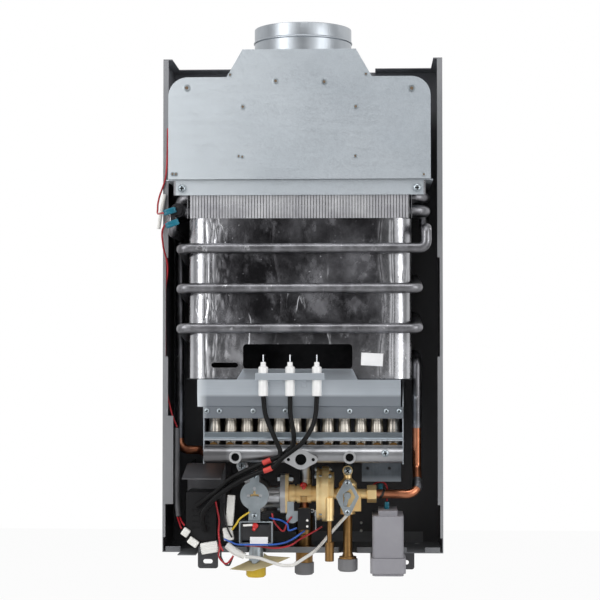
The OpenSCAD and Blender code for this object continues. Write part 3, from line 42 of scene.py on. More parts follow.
print("frame loaded with", len(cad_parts), "nodes")

cameraSet = {"place": (0.082, -2.130, -0.049), "aim": (-0.042, 1.0, 0.027), "lens": 100, "sensor": 36}

cameraData = bpy.data.cameras.new("frontCamera")
cameraData.lens = cameraSet["lens"]
cameraData.sensor_width = cameraSet["sensor"]
cameraObject = bpy.data.objects.new("frontCamera", cameraData)
cameraObject.location = cameraSet["place"]
cameraObject.rotation_euler = Vector(cameraSet["aim"]).to_track_quat("-Z", "Y").to_euler()
scene.collection.objects.link(cameraObject)
scene.camera = cameraObject
print("camera placed")


# screen colour from 0 to 255 turned into the linear colour that a shader takes
def shade(r, g, b):
    c = np.array([r, g, b]) / 255
    linear = np.where(c <= 0.04045, c / 12.92, ((c + 0.055) / 1.055) ** 2.4)
    return (*linear.tolist(), 1.0)


# one output socket, so that sums of values read as plain expressions
class Sock:
    def __init__(self, paint, socket):
        self.paint = paint
        self.socket = socket

    def join(self, operation, a, b):
        return self.paint.add("ShaderNodeMath", {"operation": operation}, {0: a, 1: b})

    def __abs__(self):
        return self.paint.add("ShaderNodeMath", {"operation": "ABSOLUTE"}, {0: self})

    def __add__(self, other):
        return self.join("ADD", self, other)

    def __sub__(self, other):
        return self.join("SUBTRACT", self, other)

    def __rsub__(self, other):
        return self.join("SUBTRACT", other, self)

    def __mul__(self, other):
        return self.join("MULTIPLY", self, other)

    __radd__, __rmul__ = __add__, __mul__


# a node tree in the making: add() takes a node's type, its settings and its sockets
class Paint:
    def __init__(self, name, tree=None):
        if tree is None:
            self.material = bpy.data.materials.new(name)
            self.material.use_nodes = True
            tree = self.material.node_tree
        self.tree = tree
        self.shader = tree.nodes.get("Principled BSDF")
        self.place = self.add("ShaderNodeTexCoord", out="Object")

    def add(self, kind, settings=None, sockets=None, out=0):
        node = self.tree.nodes.new(kind)
        for key, value in (settings or {}).items():
            setattr(node, key, value)
        for key, value in (sockets or {}).items():
            self.feed(node.inputs[key], value)
        return Sock(self, node.outputs[out])

    def feed(self, socket, value):
        if isinstance(value, Sock):
            self.tree.links.new(value.socket, socket)
        else:
            socket.default_value = value

    def mapped(self, stretch, turn=(0, 0, 0)):
        return self.add("ShaderNodeMapping", {}, {"Vector": self.place, "Scale": stretch, "Rotation": turn})

    def noise(self, scale, detail, rough, place=None):
        sockets = {"Vector": place or self.place, "Scale": scale, "Detail": detail, "Roughness": rough}
        return self.add("ShaderNodeTexNoise", {}, sockets, "Fac")

    def cells(self, scale):
        colour = self.add("ShaderNodeTexVoronoi", {}, {"Vector": self.place, "Scale": scale}, "Color")
        return self.add("ShaderNodeSeparateColor", {}, {0: colour})

    def axis(self, index):
        return self.add("ShaderNodeSeparateXYZ", {}, {0: self.place}, index)

    def ramp(self, value, low, high):
        sockets = {"Value": value, "From Min": low, "From Max": high}
        return self.add("ShaderNodeMapRange", {"clamp": True}, sockets)

    def mix(self, factor, a, b):
        return self.add("ShaderNodeMix", {"data_type": "RGBA"}, {0: factor, 6: a, 7: b}, 2)

    def bump(self, height, strength, distance):
        return self.add("ShaderNodeBump", {}, {"Height": height, "Strength": strength, "Distance": distance})

    def finish(self, **sockets):
        for key, value in sockets.items():
            self.feed(self.shader.inputs[key.replace("_", " ")], value)
        return self.material


# where the marks on metal begin and end, and what each adds to roughness and height
metalMarks = {"blotch": (0.32, 0.7), "roughScale": 2.7, "cellRough": 0.12, "cellRise": 0.5, "drawn": (0.45, 0.8),
              "drawnRough": 0.16, "drawnRise": 0.6, "dull": (0.62, 0.78), "dullRough": 0.15, "relief": 0.0004}


# sheet or bar metal: two tones by slow blotches, cells of spangle, drawn streaks, dull spots and fine grain, and
# where wanted another tone that takes over along one axis, in most finishes painted light or shade
def metalFinish(name, dark, light, blotchScale, grainScale, rough, roughSpread, bump, metal=1.0, spangle=None,
                streak=None, spots=None, falls=()):
    p, m = Paint(name), metalMarks
    colour = p.mix(p.ramp(p.noise(blotchScale, 4, 0.6), *m["blotch"]), shade(*dark), shade(*light))
    height = p.noise(grainScale, 2, 0.7)
    rough = rough + (p.noise(blotchScale * m["roughScale"], 3, 0.6) - 0.5) * roughSpread
    if spangle:
        scale, depth, tone = spangle
        cells = p.cells(scale)
        colour = p.mix(cells * depth, colour, shade(*tone))
        rough = rough + (cells - 0.5) * m["cellRough"]
        height = height + cells * m["cellRise"]
    if streak:
        stretch, scale, depth, tone = streak
        drawn = p.noise(scale, 3, 0.6, p.mapped(stretch))
        colour = p.mix(p.ramp(drawn, *m["drawn"]) * depth, colour, shade(*tone))
        rough = rough + (drawn - 0.5) * m["drawnRough"]
        height = height + drawn * m["drawnRise"]
    if spots:
        scale, depth, tone = spots
        dull = p.ramp(p.noise(scale, 5, 0.7), *m["dull"])
        colour = p.mix(dull * depth, colour, shade(*tone))
        rough = rough + dull * m["dullRough"]
    for index, start, end, tone in falls:
        colour = p.mix(p.ramp(p.axis(index), start, end), colour, shade(*tone))
    grain = p.bump(height, bump, m["relief"])
    return p.finish(Base_Color=colour, Metallic=metal, Roughness=rough, Normal=grain)


mouldMarks = {"mottle": (0.3, 0.72), "dustScale": 6, "dusty": (0.6, 0.85), "dustRough": 0.1, "coatRough": 0.15,
              "relief": 0.0003}


# moulded or rubbed surface: a tone with faint mottling, a fine pebble and a worn sheen
def mouldedFinish(name, dark, light, mottleScale, grainScale, rough, roughSpread, bump, dust=0.15,
                  dustTone=(190, 188, 182), ior=1.5, coat=0):
    p, m = Paint(name), mouldMarks
    mottle = p.noise(mottleScale, 4, 0.6)
    colour = p.mix(p.ramp(mottle, *m["mottle"]), shade(*dark), shade(*light))
    dusty = p.ramp(p.noise(mottleScale * m["dustScale"], 5, 0.75), *m["dusty"])
    colour = p.mix(dusty * dust, colour, shade(*dustTone))
    rough = rough + (mottle - 0.5) * roughSpread + dusty * m["dustRough"]
    if coat:
        p.finish(Coat_Weight=coat, Coat_Roughness=m["coatRough"])
    pebble = p.bump(p.noise(grainScale, 2, 0.6), bump, m["relief"])
    return p.finish(Base_Color=colour, Roughness=rough, IOR=ior, Normal=pebble)


# dark and light tone, scale of the blotches and of the grain, roughness, its spread, bump, and what else there is
metalSets = {
    # galvanised sheet: the paler tone that takes over towards the left is a painted highlight
    "galvanised": ((170, 178, 185), (185, 192, 198), 7, 1500, 0.46, 0.1, 0.03, {"metal": 0.7,
        "spangle": (900, 0.16, (222, 228, 233)), "streak": ((0.5, 1, 10), 26, 0.12, (166, 175, 183)),
        "spots": (60, 0.06, (150, 156, 162)), "falls": [(0, 0.02, -0.2, (206, 213, 218))]}),
    # front plate steel: the darker tone below the band is painted shade; the pale tone at the left end is a
    # painted highlight
    "plateSteel": ((186, 194, 202), (204, 211, 218), 7, 1400, 0.36, 0.1, 0.03, {"metal": 0.85,
        "streak": ((0.4, 1, 16), 30, 0.2, (160, 169, 178)),
        "falls": [(2, -0.107, -0.1105, (134, 140, 147)), (0, -0.11, -0.122, (232, 238, 243))]}),
    # rail steel: the pale tone along the foot of the roll is a painted highlight
    "railSteel": ((122, 131, 138), (148, 157, 164), 9, 1400, 0.3, 0.1, 0.03, {"metal": 0.9,
        "streak": ((0.3, 1, 18), 30, 0.25, (126, 134, 141)),
        "falls": [(2, -0.1595, -0.1615, (232, 238, 244))]}),
    # drip plate: galvanised sheet darkened as painted shade under the burner box, with painted light on its lower
    # part
    "shadedDripSteel": ((66, 71, 76), (104, 110, 116), 22, 1200, 0.4, 0.14, 0.05, {"metal": 0.85,
        "streak": ((30, 30, 0.7), 30, 0.4, (66, 70, 74)),
        "falls": [(2, -0.205, -0.214, (128, 134, 140))]}),
    "shieldSteel": ((88, 88, 91), (110, 110, 113), 18, 1200, 0.42, 0.12, 0.06, {"metal": 0.4,
        "spots": (120, 0.2, (140, 140, 142))}),
    "brightSteel": ((186, 190, 195), (218, 221, 224), 16, 1400, 0.26, 0.12, 0.04,
        {"streak": ((14, 14, 0.5), 40, 0.25, (156, 161, 167))}),
    "rolledCollar": ((158, 164, 170), (188, 193, 198), 12, 1200, 0.38, 0.1, 0.05,
        {"streak": ((30, 30, 0.4), 22, 0.35, (164, 170, 176))}),
    # case paint: the paler tone towards the top is painted light; the paler front flange is partly grey paint and
    # partly painted light
    "casePaint": ((66, 66, 69), (78, 78, 81), 5, 1100, 0.5, 0.12, 0.12, {"metal": 0.0,
        "spots": (150, 0.1, (108, 108, 110)),
        "falls": [(2, 0.225, 0.25, (124, 124, 128)), (1, -0.1075, -0.1095, (138, 139, 142))]}),
    "greySheet": ((106, 108, 111), (124, 126, 129), 8, 1100, 0.46, 0.12, 0.1, {"metal": 0.0,
        "spots": (140, 0.16, (150, 150, 151))}),
    "darkSteel": ((38, 38, 40), (64, 64, 67), 30, 1000, 0.42, 0.18, 0.1,
        {"spots": (160, 0.3, (120, 112, 104))}),
    "finSheet": ((186, 186, 192), (232, 233, 236), 30, 900, 0.36, 0.16, 0.08, {"metal": 0.8,
        "streak": ((26, 1, 0.4), 24, 0.5, (120, 120, 126))}),
    "stainless": ((168, 162, 153), (204, 199, 190), 24, 1300, 0.32, 0.06, 0.01, {}),
    "castAluminium": ((182, 183, 186), (212, 213, 215), 24, 620, 0.36, 0.14, 0.16,
        {"spots": (260, 0.24, (132, 133, 136))}),
    # manifold alloy: the paler tone on the front faces is painted light
    "manifoldAlloy": ((140, 141, 144), (178, 179, 182), 18, 620, 0.34, 0.14, 0.14,
        {"spots": (260, 0.24, (112, 113, 116)),
        "falls": [(0, -0.082, -0.088, (112, 112, 114)), (1, -0.1745, -0.1765, (206, 207, 209))]}),
    "zincPlate": ((142, 152, 158), (190, 198, 203), 24, 1200, 0.33, 0.06, 0.01, {}),
    "boxSteel": ((170, 178, 186), (198, 205, 212), 9, 1300, 0.36, 0.12, 0.04, {"metal": 0.85,
        "streak": ((1, 1, 12), 26, 0.2, (146, 154, 162)),
        "falls": [(2, -0.118, -0.098, (58, 60, 63))]}),
    "brass": ((250, 206, 134), (255, 234, 182), 26, 700, 0.33, 0.06, 0.02, {"metal": 0.65}),
    "turnedBrass": ((122, 90, 54), (160, 126, 80), 26, 900, 0.38, 0.16, 0.12,
        {"streak": ((4, 4, 60), 30, 0.4, (126, 92, 54)), "spots": (160, 0.4, (104, 78, 50))}),
}
mouldedSets = {
    "greyPlastic": ((140, 139, 145), (152, 151, 157), 22, 2400, 0.52, 0.12, 0.12, {"dust": 0.12}),
    "capPlastic": ((122, 122, 125), (136, 136, 138), 22, 2400, 0.52, 0.12, 0.12, {"dust": 0.12}),
    "blackPlastic": ((17, 17, 18), (28, 28, 30), 30, 2400, 0.42, 0.16, 0.16, {"dust": 0.1,
        "dustTone": (70, 70, 70), "ior": 1.3}),
    "yellowPlastic": ((206, 170, 28), (226, 194, 50), 30, 2200, 0.45, 0.12, 0.1, {}),
    "whiteNylon": ((226, 225, 220), (238, 237, 233), 60, 2400, 0.42, 0.12, 0.08, {"dust": 0.1,
        "dustTone": (170, 165, 155)}),
    "ceramic": ((232, 232, 232), (243, 243, 242), 90, 3000, 0.24, 0.1, 0.04, {"dust": 0.06,
        "dustTone": (180, 172, 160), "coat": 0.5}),
    "tealSleeve": ((0, 88, 108), (2, 116, 140), 60, 2000, 0.35, 0.12, 0.1, {"dust": 0.06}),
    "blackRubber": ((9, 9, 10), (16, 16, 17), 40, 1800, 0.46, 0.14, 0.14, {"dust": 0.08,
        "dustTone": (60, 60, 62), "ior": 1.26}),
    "redMarker": ((184, 48, 42), (208, 72, 62), 80, 1800, 0.5, 0.14, 0.14, {"dust": 0.1}),
    "greySleeve": ((74, 74, 77), (96, 96, 99), 40, 1600, 0.55, 0.12, 0.25, {"dust": 0.25}),
    "whiteSleeve": ((220, 219, 214), (236, 235, 231), 50, 1500, 0.5, 0.14, 0.2, {"dust": 0.18,
        "dustTone": (168, 164, 156)}),
    "redWire": ((142, 18, 28), (184, 34, 44), 70, 1800, 0.4, 0.12, 0.08, {"dust": 0.06}),
    "blueWire": ((20, 66, 148), (36, 98, 190), 70, 1800, 0.4, 0.12, 0.08, {"dust": 0.06}),
    "yellowWire": ((208, 172, 34), (230, 200, 70), 70, 1800, 0.4, 0.12, 0.08, {"dust": 0.06}),
    "blackWire": ((20, 20, 22), (34, 34, 36), 70, 1800, 0.42, 0.12, 0.08, {"dust": 0.1,
        "dustTone": (90, 90, 92)}),
    "coilWrap": ((12, 12, 14), (34, 34, 38), 40, 900, 0.4, 0.14, 0.2, {"coat": 0.3}),
    "cellJacket": ((30, 34, 52), (44, 48, 70), 20, 1600, 0.32, 0.12, 0.05, {"coat": 0.4}),
    "sealPaint": ((186, 16, 20), (214, 34, 32), 200, 700, 0.3, 0.14, 0.4, {"dust": 0.04, "coat": 0.5}),
    "labelPaper": ((234, 234, 236), (244, 244, 245), 60, 2600, 0.55, 0.1, 0.08, {"dust": 0.1,
        "dustTone": (176, 172, 166)}),
    "scorched": ((92, 74, 56), (132, 112, 90), 300, 1500, 0.6, 0.14, 0.2, {"dust": 0.2,
        "dustTone": (168, 166, 160)}),
    "boreShadow": ((8, 8, 9), (20, 20, 22), 120, 1500, 0.7, 0.1, 0.1, {"dust": 0.1, "dustTone": (60, 60, 62),
        "ior": 1.2}),
    "tagPaper": ((196, 180, 136), (220, 206, 166), 26, 1500, 0.7, 0.1, 0.2, {"dust": 0.2,
        "dustTone": (170, 152, 110)}),
}
finishes = {name: metalFinish(name, *look, **more) for name, (*look, more) in metalSets.items()}
finishes.update({name: mouldedFinish(name, *look, **more) for name, (*look, more) in mouldedSets.items()})

# shell: the corner and lobe entries paint highlights where the sheet bends and towards its foot
tinnedSet = {"dark": (96, 95, 99), "mid": (164, 164, 169), "light": (222, 223, 227), "soot": (44, 43, 45),
             "rough": 0.2, "smear": 13, "runs": 60, "stain": 0.75, "bump": 0.35, "middle": -0.002,
             "corner": (0.09, 0.108), "cornerShare": 0.42, "lobe": (-0.034, -0.058), "footHighlightShare": 0.34}
coilSet = {"dark": (116, 116, 120), "mid": (146, 146, 150), "light": (206, 207, 210), "soot": (84, 83, 85),
           "rough": 0.34, "smear": 40, "runs": 120, "stain": 0.4, "bump": 0.16}
tinMarks = {"cloud": (0.38, 0.66), "wiped": (0.52, 0.74), "run": (0.012, 0.002), "patch": (0.55, 0.65),
            "speck": (0.7, 0.76), "speckScale": 240, "wipedShare": 0.6, "runShare": 0.8, "speckShare": 0.35,
            "wipedRough": 0.2, "cloudRough": 0.05, "runRough": 0.06, "rise": 0.3, "grainRise": 0.06,
            "grainScale": 600, "relief": 0.0015}


# dip-tinned sheet: a mirror skin under soot stains, wiped paler by clouds that scatter light, with specks and with
# solder runs along the middle lines of a stretched noise, and painted highlights where it bends and towards its
# foot
def tinnedFinish(name, s):
    p, m = Paint(name), tinMarks
    cloud = p.ramp(p.noise(s["smear"], 5, 0.6), *m["cloud"])
    wiped = p.ramp(p.noise(s["smear"] * 2.1, 6, 0.66, p.mapped((1, 1, 0.7), (0, 0.4, 0))), *m["wiped"])
    middle = abs(p.noise(s["runs"] * 0.4, 3, 0.5, p.mapped((1, 1, 0.3))) - 0.5)
    run = p.ramp(middle, *m["run"]) * p.ramp(p.noise(s["smear"] * 1.7, 2, 0.5), *m["patch"])
    speck = p.ramp(p.noise(m["speckScale"], 2, 0.5), *m["speck"])
    colour = p.mix(cloud, shade(*s["dark"]), shade(*s["mid"]))
    colour = p.mix((1 - wiped) * (1 - cloud) * s["stain"], colour, shade(*s["soot"]))
    colour = p.mix(wiped * m["wipedShare"], colour, shade(*s["mid"]))
    # painted highlights: paler where the sheet bends round its corners and towards the foot of its front
    if "corner" in s:
        aside = abs(p.axis(0) - s["middle"])
        colour = p.mix(p.ramp(aside, *s["corner"]) * s["cornerShare"], colour, shade(*s["light"]))
        colour = p.mix(p.ramp(p.axis(2), *s["lobe"]) * s["footHighlightShare"], colour, shade(*s["light"]))
    colour = p.mix(run * m["runShare"] + speck * m["speckShare"], colour, shade(*s["light"]))
    rough = s["rough"] + wiped * m["wipedRough"] + cloud * m["cloudRough"] - run * m["runRough"]
    height = p.noise(s["smear"] * 3, 4, 0.6) + run * m["rise"] + speck * m["rise"]
    height = height + p.noise(m["grainScale"], 2, 0.6) * m["grainRise"]
    skin = p.bump(height, s["bump"], m["relief"])
    return p.finish(Base_Color=colour, Metallic=1.0, Roughness=rough, Normal=skin)


finishes["tinnedShell"] = tinnedFinish("tinnedShell", tinnedSet)
finishes["tinnedCoil"] = tinnedFinish("tinnedCoil", coilSet)

copperSet = {"dark": (176, 104, 72), "light": (222, 156, 122), "oxide": (122, 70, 48), "stroke": (0.0965, 0.0024),
             "level": -0.228, "slant": 0.45, "ink": (0.004, 0.004, 0.005, 1), "wobble": 0.003, "inkRough": 0.2,
             "cloud": (0.42, 0.72), "cloudShare": 0.6, "rough": 0.28, "cloudRough": 0.2, "roughSpread": 0.1,
             "bump": 0.1, "relief": 0.0004}


# drawn copper: warm tones with darker oxide clouds and, where wanted, a slanting marker stroke
def copperFinish(name, s, marked):
    p = Paint(name)
    cloud = p.ramp(p.noise(26, 5, 0.65), *s["cloud"])
    colour = p.mix(p.noise(60, 3, 0.6), shade(*s["dark"]), shade(*s["light"]))
    colour = p.mix(cloud * s["cloudShare"], colour, shade(*s["oxide"]))
    rough = s["rough"] + cloud * s["cloudRough"] + (p.noise(120, 3, 0.6) - 0.5) * s["roughSpread"]
    metal = 1.0
    if marked:
        place, half = s["stroke"]
        wobble = (p.noise(240, 3, 0.6) - 0.5) * s["wobble"]
        across = abs(p.axis(0) - (p.axis(2) - s["level"]) * s["slant"] + wobble - place)
        ink = p.ramp(across, half, half * 0.5)
        colour = p.mix(ink, colour, s["ink"])
        rough = rough + ink * s["inkRough"]
        metal = 1 - ink
    grain = p.bump(p.noise(500, 3, 0.6), s["bump"], s["relief"])
    return p.finish(Base_Color=colour, Metallic=metal, Roughness=rough, Normal=grain)


finishes["copper"] = copperFinish("copper", copperSet, False)
finishes["markedCopper"] = copperFinish("markedCopper", copperSet, True)
print("finishes made:", len(finishes))


# angles of the points round a ring
def ringAngles(sides):
    return np.linspace(0, 2 * math.pi, sides, endpoint=False)


# faces of a grid of rows and columns, the columns closed into rings if wanted
def gridFaces(rows, cols, ring):
    i = np.arange(rows - 1)[:, None]
    j = np.arange(cols if ring else cols - 1)[None, :]
    k = (j + 1) % cols
    return np.stack([i * cols + j, i * cols + k, (i + 1) * cols + k, (i + 1) * cols + j], -1).reshape(-1, 4)


# faces of rings carried along a line, with both ends closed
def tubeFaces(rows, cols):
    ends = [list(range(cols))[::-1], list(range((rows - 1) * cols, rows * cols))]
    return gridFaces(rows, cols, True).tolist() + ends


# several grids put into one mesh, with their face numbers moved on
def joined(parts):
    points, faces, start = [], [], 0
    for p, f in parts:
        points.append(np.asarray(p, float).reshape(-1, 3))
        faces += [[int(i) + start for i in face] for face in f]
        start += len(points[-1])
    return np.vstack(points), faces


# mesh made into a named piece, smooth up to an angle in degrees, that stands for a node and moves with a body
def settle(name, mesh, finish, slot, node, smooth, body="frame"):
    mesh.polygons.foreach_set("use_smooth", np.ones(len(mesh.polygons), bool))
    mesh.set_sharp_from_angle(angle=math.radians(smooth))
    piece = bpy.data.objects.new(name, mesh)
    scene.collection.objects.link(piece)
    mesh.materials.append(finishes[finish])
    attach(piece, body)
    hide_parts(node)
    return piece


# piece made from parts in mm, each of them its points and its faces
def makePiece(name, parts, finish, slot, node, smooth=40):
    points, faces = joined(parts)
    mesh = bpy.data.meshes.new(name)
    mesh.from_pydata((points / 1000).tolist(), [], faces)
    mesh.update()
    return settle(name, mesh, finish, slot, node, smooth)


# cubic through the points: each span's slope at a point is half the chord between its neighbours
def smoothRoute(points, perSpan):
    p = np.array(points, float)
    ext = np.vstack([2 * p[0] - p[1], p, 2 * p[-1] - p[-2]])
    a, b, c, d = ext[:-3, None], ext[1:-2, None], ext[2:-1, None], ext[3:, None]
    t = np.linspace(0, 1, perSpan, endpoint=False)[None, :, None]
    line = 0.5 * (2 * b + (c - a) * t + (2 * a - 5 * b + 4 * c - d) * t ** 2 + (3 * b - a - 3 * c + d) * t ** 3)
    return np.vstack([line.reshape(-1, 3), p[-1:]])


# corners of a route rounded to arcs of radius r, so the middle of each arc lies on the corner's bisector
def bentRoute(points, r, steps):
    p = np.array(points, float)
    line = [p[:1]]
    for a, b, c in zip(p[:-2], p[1:-1], p[2:]):
        u = (a - b) / np.linalg.norm(a - b)
        v = (c - b) / np.linalg.norm(c - b)
        half = math.acos(np.clip(u @ v, -1, 1)) / 2
        o = b + (u + v) / np.linalg.norm(u + v) * r / math.sin(half)
        e = (b + u * r / math.tan(half) - o) / r
        k = np.linspace(0, math.pi - 2 * half, steps + 1)[:, None]
        line.append(o + r * (np.cos(k) * e - np.sin(k) * u))
    return np.vstack([*line, p[-1:]])


# extra points along the straight runs, so that no step is longer than reach
def dense(route, reach):
    gap = np.linalg.norm(np.diff(route, axis=0), axis=1)
    steps = np.maximum(1, np.ceil(gap / reach)).astype(int)
    parts = [np.linspace(a, b, n, endpoint=False) for a, b, n in zip(route, route[1:], steps)]
    return np.vstack([*parts, route[-1:]])


# frame carried along a route: each ring's side is the last one less its part along the new direction
def carriedFrames(route):
    tangent = np.gradient(route, axis=0)
    tangent /= np.linalg.norm(tangent, axis=1)[:, None]
    side = np.empty_like(route)
    start = np.cross(tangent[0], (0, 0, 1) if abs(tangent[0, 2]) < 0.9 else (1, 0, 0))
    side[0] = start / np.linalg.norm(start)
    for i in range(1, len(route)):
        n = side[i - 1] - tangent[i] * (side[i - 1] @ tangent[i])
        side[i] = n / np.linalg.norm(n)
    return side, np.cross(tangent, side)


# round profile carried along a route: point = route + radius (cos a side + sin a up), with both ends closed
def sweptGrid(route, radius, sides):
    side, up = carriedFrames(route)
    a = ringAngles(sides)[None, :, None]
    r = np.broadcast_to(np.asarray(radius, float), (len(route),))[:, None, None]
    points = route[:, None] + r * (np.cos(a) * side[:, None] + np.sin(a) * up[:, None])
    return points.reshape(-1, 3), tubeFaces(len(route), sides)


# way along a route up to each of its points
def wayAlong(route):
    return np.concatenate([[0], np.cumsum(np.linalg.norm(np.diff(route, axis=0), axis=1))])


leadSet = {
    "d": 5.6,
    "routes": [
        [[-43.5, -171.95, -109.7], [-40.6, -174, -131], [-32, -180, -152], [-22.9, -183, -172.8],
         [-24, -183, -179.6], [-32.7, -182.5, -182.6], [-60.2, -178, -194.6], [-81.7, -171, -205.8],
         [-98.4, -161, -220.9], [-124.5, -141.4, -241]],
        [[-12, -171.95, -109.7], [-11.3, -174, -131], [-7.2, -179, -153.8], [-8, -178, -165.5],
         [-14.5, -177, -172.5], [-23.5, -176.3, -178.9], [-33.5, -174.5, -184.3], [-60.7, -171, -198],
         [-82.3, -163.6, -212.4], [-99.3, -154.6, -229.4], [-122, -141.4, -249]],
        [[19.5, -171.95, -109.7], [18.1, -175, -131], [13.1, -184, -147.4], [3, -190, -162.7],
         [-7.4, -190.5, -171.2], [-19.9, -189, -180.5], [-32.5, -186, -192.1], [-49.4, -183, -198.5],
         [-70.8, -177, -208.5], [-92.5, -168, -223.2], [-107.1, -160, -236.3], [-116.9, -153, -251.8],
         [-114.5, -141.4, -271]],
    ],
}

cordSet = {"perSpan": 8, "sides": 12, "shortest": 31, "slender": 6.2}


# one wire or lead: a smooth tube along its points
def makeCord(name, points, d, finish, slot, node):
    ends = np.array(points, float)
    route = np.clip(smoothRoute(ends, cordSet["perSpan"]), ends.min(0), ends.max(0))
    piece = makePiece(name, [sweptGrid(route, d / 2, cordSet["sides"])], finish, slot, node)
    length = float(wayAlong(route)[-1])
    length > max(cordSet["shortest"], cordSet["slender"] * d)
    return route


leadLines = [makeCord("ignitionLead" + str(i), r, leadSet["d"], "blackRubber", "rubber", "ignition_leads")
             for i, r in enumerate(leadSet["routes"])]

wireSet = {
    "d": 2.2,
    "red": [
        [[-157.8, -153.7, 110], [-168, -142, 109], [-176, -118, 112], [-174.5, -113, 130], [-166, -111.6, 160],
         [-164, -111.6, 215]],
        [[-160.8, -153.7, 97], [-167, -142, 87], [-168, -124, 70], [-164.6, -113, 52], [-164.8, -108.2, 36],
         [-167.3, -107.5, 15], [-167.3, -107.3, -60], [-167, -107, -95], [-160, -105, -130], [-153, -104, -149.4]],
        [[-152, -106, -258.4], [-148, -122, -262.5], [-143.5, -141, -267.5]],
        [[-149, -106, -258.2], [-145, -124, -261], [-140, -141, -263.9]],
        [[-103, -139.5, -234], [-98, -143, -257], [-98.5, -144, -272], [-96.5, -146, -286], [-93, -147, -294]],
        [[-98.2, -143, -286.6], [-96.8, -146, -290.5], [-98, -148, -299], [-94, -149, -305.5], [-88, -149, -308.5],
         [-80.5, -146, -299.6]],
        [[-67, -148, -286.7], [-48, -150, -288], [-30.5, -152, -289.5], [-13, -150, -286.5], [-1.5, -146, -279.5],
         [13, -142, -272], [24.5, -138, -265.5]],
        [[-34.5, -147.9, -249], [-32, -151, -258], [-22.5, -152, -269], [-19, -157, -267], [-16, -161, -259],
         [-10.5, -159.8, -251.5]],
        [[84, -104, -221], [88, -104, -216.5], [94.5, -104, -214.4], [100, -104.5, -217], [102.6, -107, -223],
         [102.6, -112, -231], [102, -114.3, -236.9]],
    ],
    "control": [
        ["blueWire", [[-91.5, -148, -279.5], [-83, -152, -282.5], [-72, -157, -285], [-36.5, -157, -285],
                      [-15, -156, -281], [5, -162, -267.6]]],
        ["yellowWire", [[-82, -147.9, -268.5], [-77, -152, -262], [-71.5, -154.5, -254], [-61.5, -149.6, -247.5]]],
        ["blackWire", [[-92.5, -141, -237.5], [-90.5, -148, -252.5], [-87, -148, -268], [-82, -148, -277.5]]],
        ["blueWire", [[-37, -147.9, -254], [-33, -155, -254.5], [-23.5, -158, -256], [-15.5, -165.5, -260],
                      [-13.5, -165, -267], [-4.4, -163, -264.5]]],
        ["blackWire", [[-97.8, -141.5, -290.7], [-96, -143, -294.5], [-95.5, -144, -301.5], [-91, -144, -309.5],
                       [-86, -144, -311], [-81.2, -142.5, -300.4]]],
    ],
    "sensorD": 4,
    "sensor": [[-66.4, -142, -301.1], [-51.5, -144, -302], [-37, -145, -306.5], [-21.5, -145, -311],
               [-11, -144, -311], [2, -142, -303.5], [17.5, -138, -293], [31.5, -132, -277.5], [45, -134, -262],
               [54.3, -138, -251.8]],
}
for i, r in enumerate(wireSet["red"]):
    makeCord("redWire" + str(i), r, wireSet["d"], "redWire", "red_insulation", "red_wires")
for i, (tone, r) in enumerate(wireSet["control"]):
    makeCord("controlWire" + str(i), r, wireSet["d"], tone, "blue_insulation", "control_wires")
makeCord("sensorCable", wireSet["sensor"], wireSet["sensorD"], "whiteSleeve", "white_plastic", "sensor_cable")
print("leads and wires laid")

sleeveSet = {"long": [[-153, -104, -150], [-153, -104, -190], [-153, -104, -230], [-150.5, -106, -257]], "d": 7,
             "boot": [[-89, -142, -287], [-79, -143, -294.5], [-67.5, -142, -300.5]], "bootD": 9, "weave": 1.6,
             "ripple": 0.015, "taper": 0.14, "neck": 1.15, "perSpan": (10, 14), "sides": 18}


# woven sleeve: a tube whose radius ripples at each half weave, its steps worked out in metres; and a moulded boot
# that swells in its middle
def makeSleeves(s):
    longSpan, bootSpan = s["perSpan"]
    route = dense(smoothRoute(np.array(s["long"]) / 1000, longSpan), s["weave"] / 2000) * 1000
    wave = s["d"] / 2 * (1 - s["ripple"] + s["ripple"] * np.cos(np.arange(len(route)) * math.pi))
    makePiece("greySleeve", [sweptGrid(route, wave, s["sides"])], "greySleeve", "grey_sleeve", "cable_sleeves")
    route = smoothRoute(s["boot"], bootSpan)
    t = np.clip(np.linspace(0, s["neck"], len(route)), 0, 1)
    swell = s["bootD"] / 2 * (1 - s["taper"] + s["taper"] * np.sin(math.pi * t) ** 0.5)
    boot = sweptGrid(route, swell, s["sides"])
    makePiece("whiteBoot", [boot], "whiteSleeve", "white_plastic", "cable_sleeves")


makeSleeves(sleeveSet)

easeSet = {"angle": 34, "merge": 2e-6, "flat": 0.8, "segments": 2}


# CAD solid taken over: its corners merged, flat faces cleared of their triangles and the edges eased
def easedCopy(s, node, finish, slot, ease, body="frame"):
    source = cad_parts[node].data
    co = np.empty(len(source.vertices) * 3)
    source.vertices.foreach_get("co", co)
    corner = np.empty(len(source.loops), int)
    source.loops.foreach_get("vertex_index", corner)
    points, index = np.unique(np.round(co.reshape(-1, 3), 7), axis=0, return_inverse=True)
    faces = index.reshape(-1)[corner].reshape(-1, 3)
    faces = faces[(faces[:, 0] != faces[:, 1]) & (faces[:, 1] != faces[:, 2]) & (faces[:, 0] != faces[:, 2])]
    mesh = bpy.data.meshes.new(node + "Form")
    mesh.from_pydata(points.tolist(), [], faces.tolist())
    form = bmesh.new()
    form.from_mesh(mesh)
    bmesh.ops.remove_doubles(form, verts=form.verts, dist=s["merge"])
    bmesh.ops.dissolve_limit(form, angle_limit=math.radians(s["flat"]), verts=form.verts, edges=form.edges)
    form.to_mesh(mesh)
    form.free()
    piece = settle(node + "Form", mesh, finish, slot, node, s["angle"], body)
    if ease:
        bevel = piece.modifiers.new("ease", "BEVEL")
        bevel.width = ease / 1000
        bevel.segments = s["segments"]
        bevel.limit_method = "ANGLE"
        bevel.angle_limit = math.radians(s["angle"])
        bevel.harden_normals = True
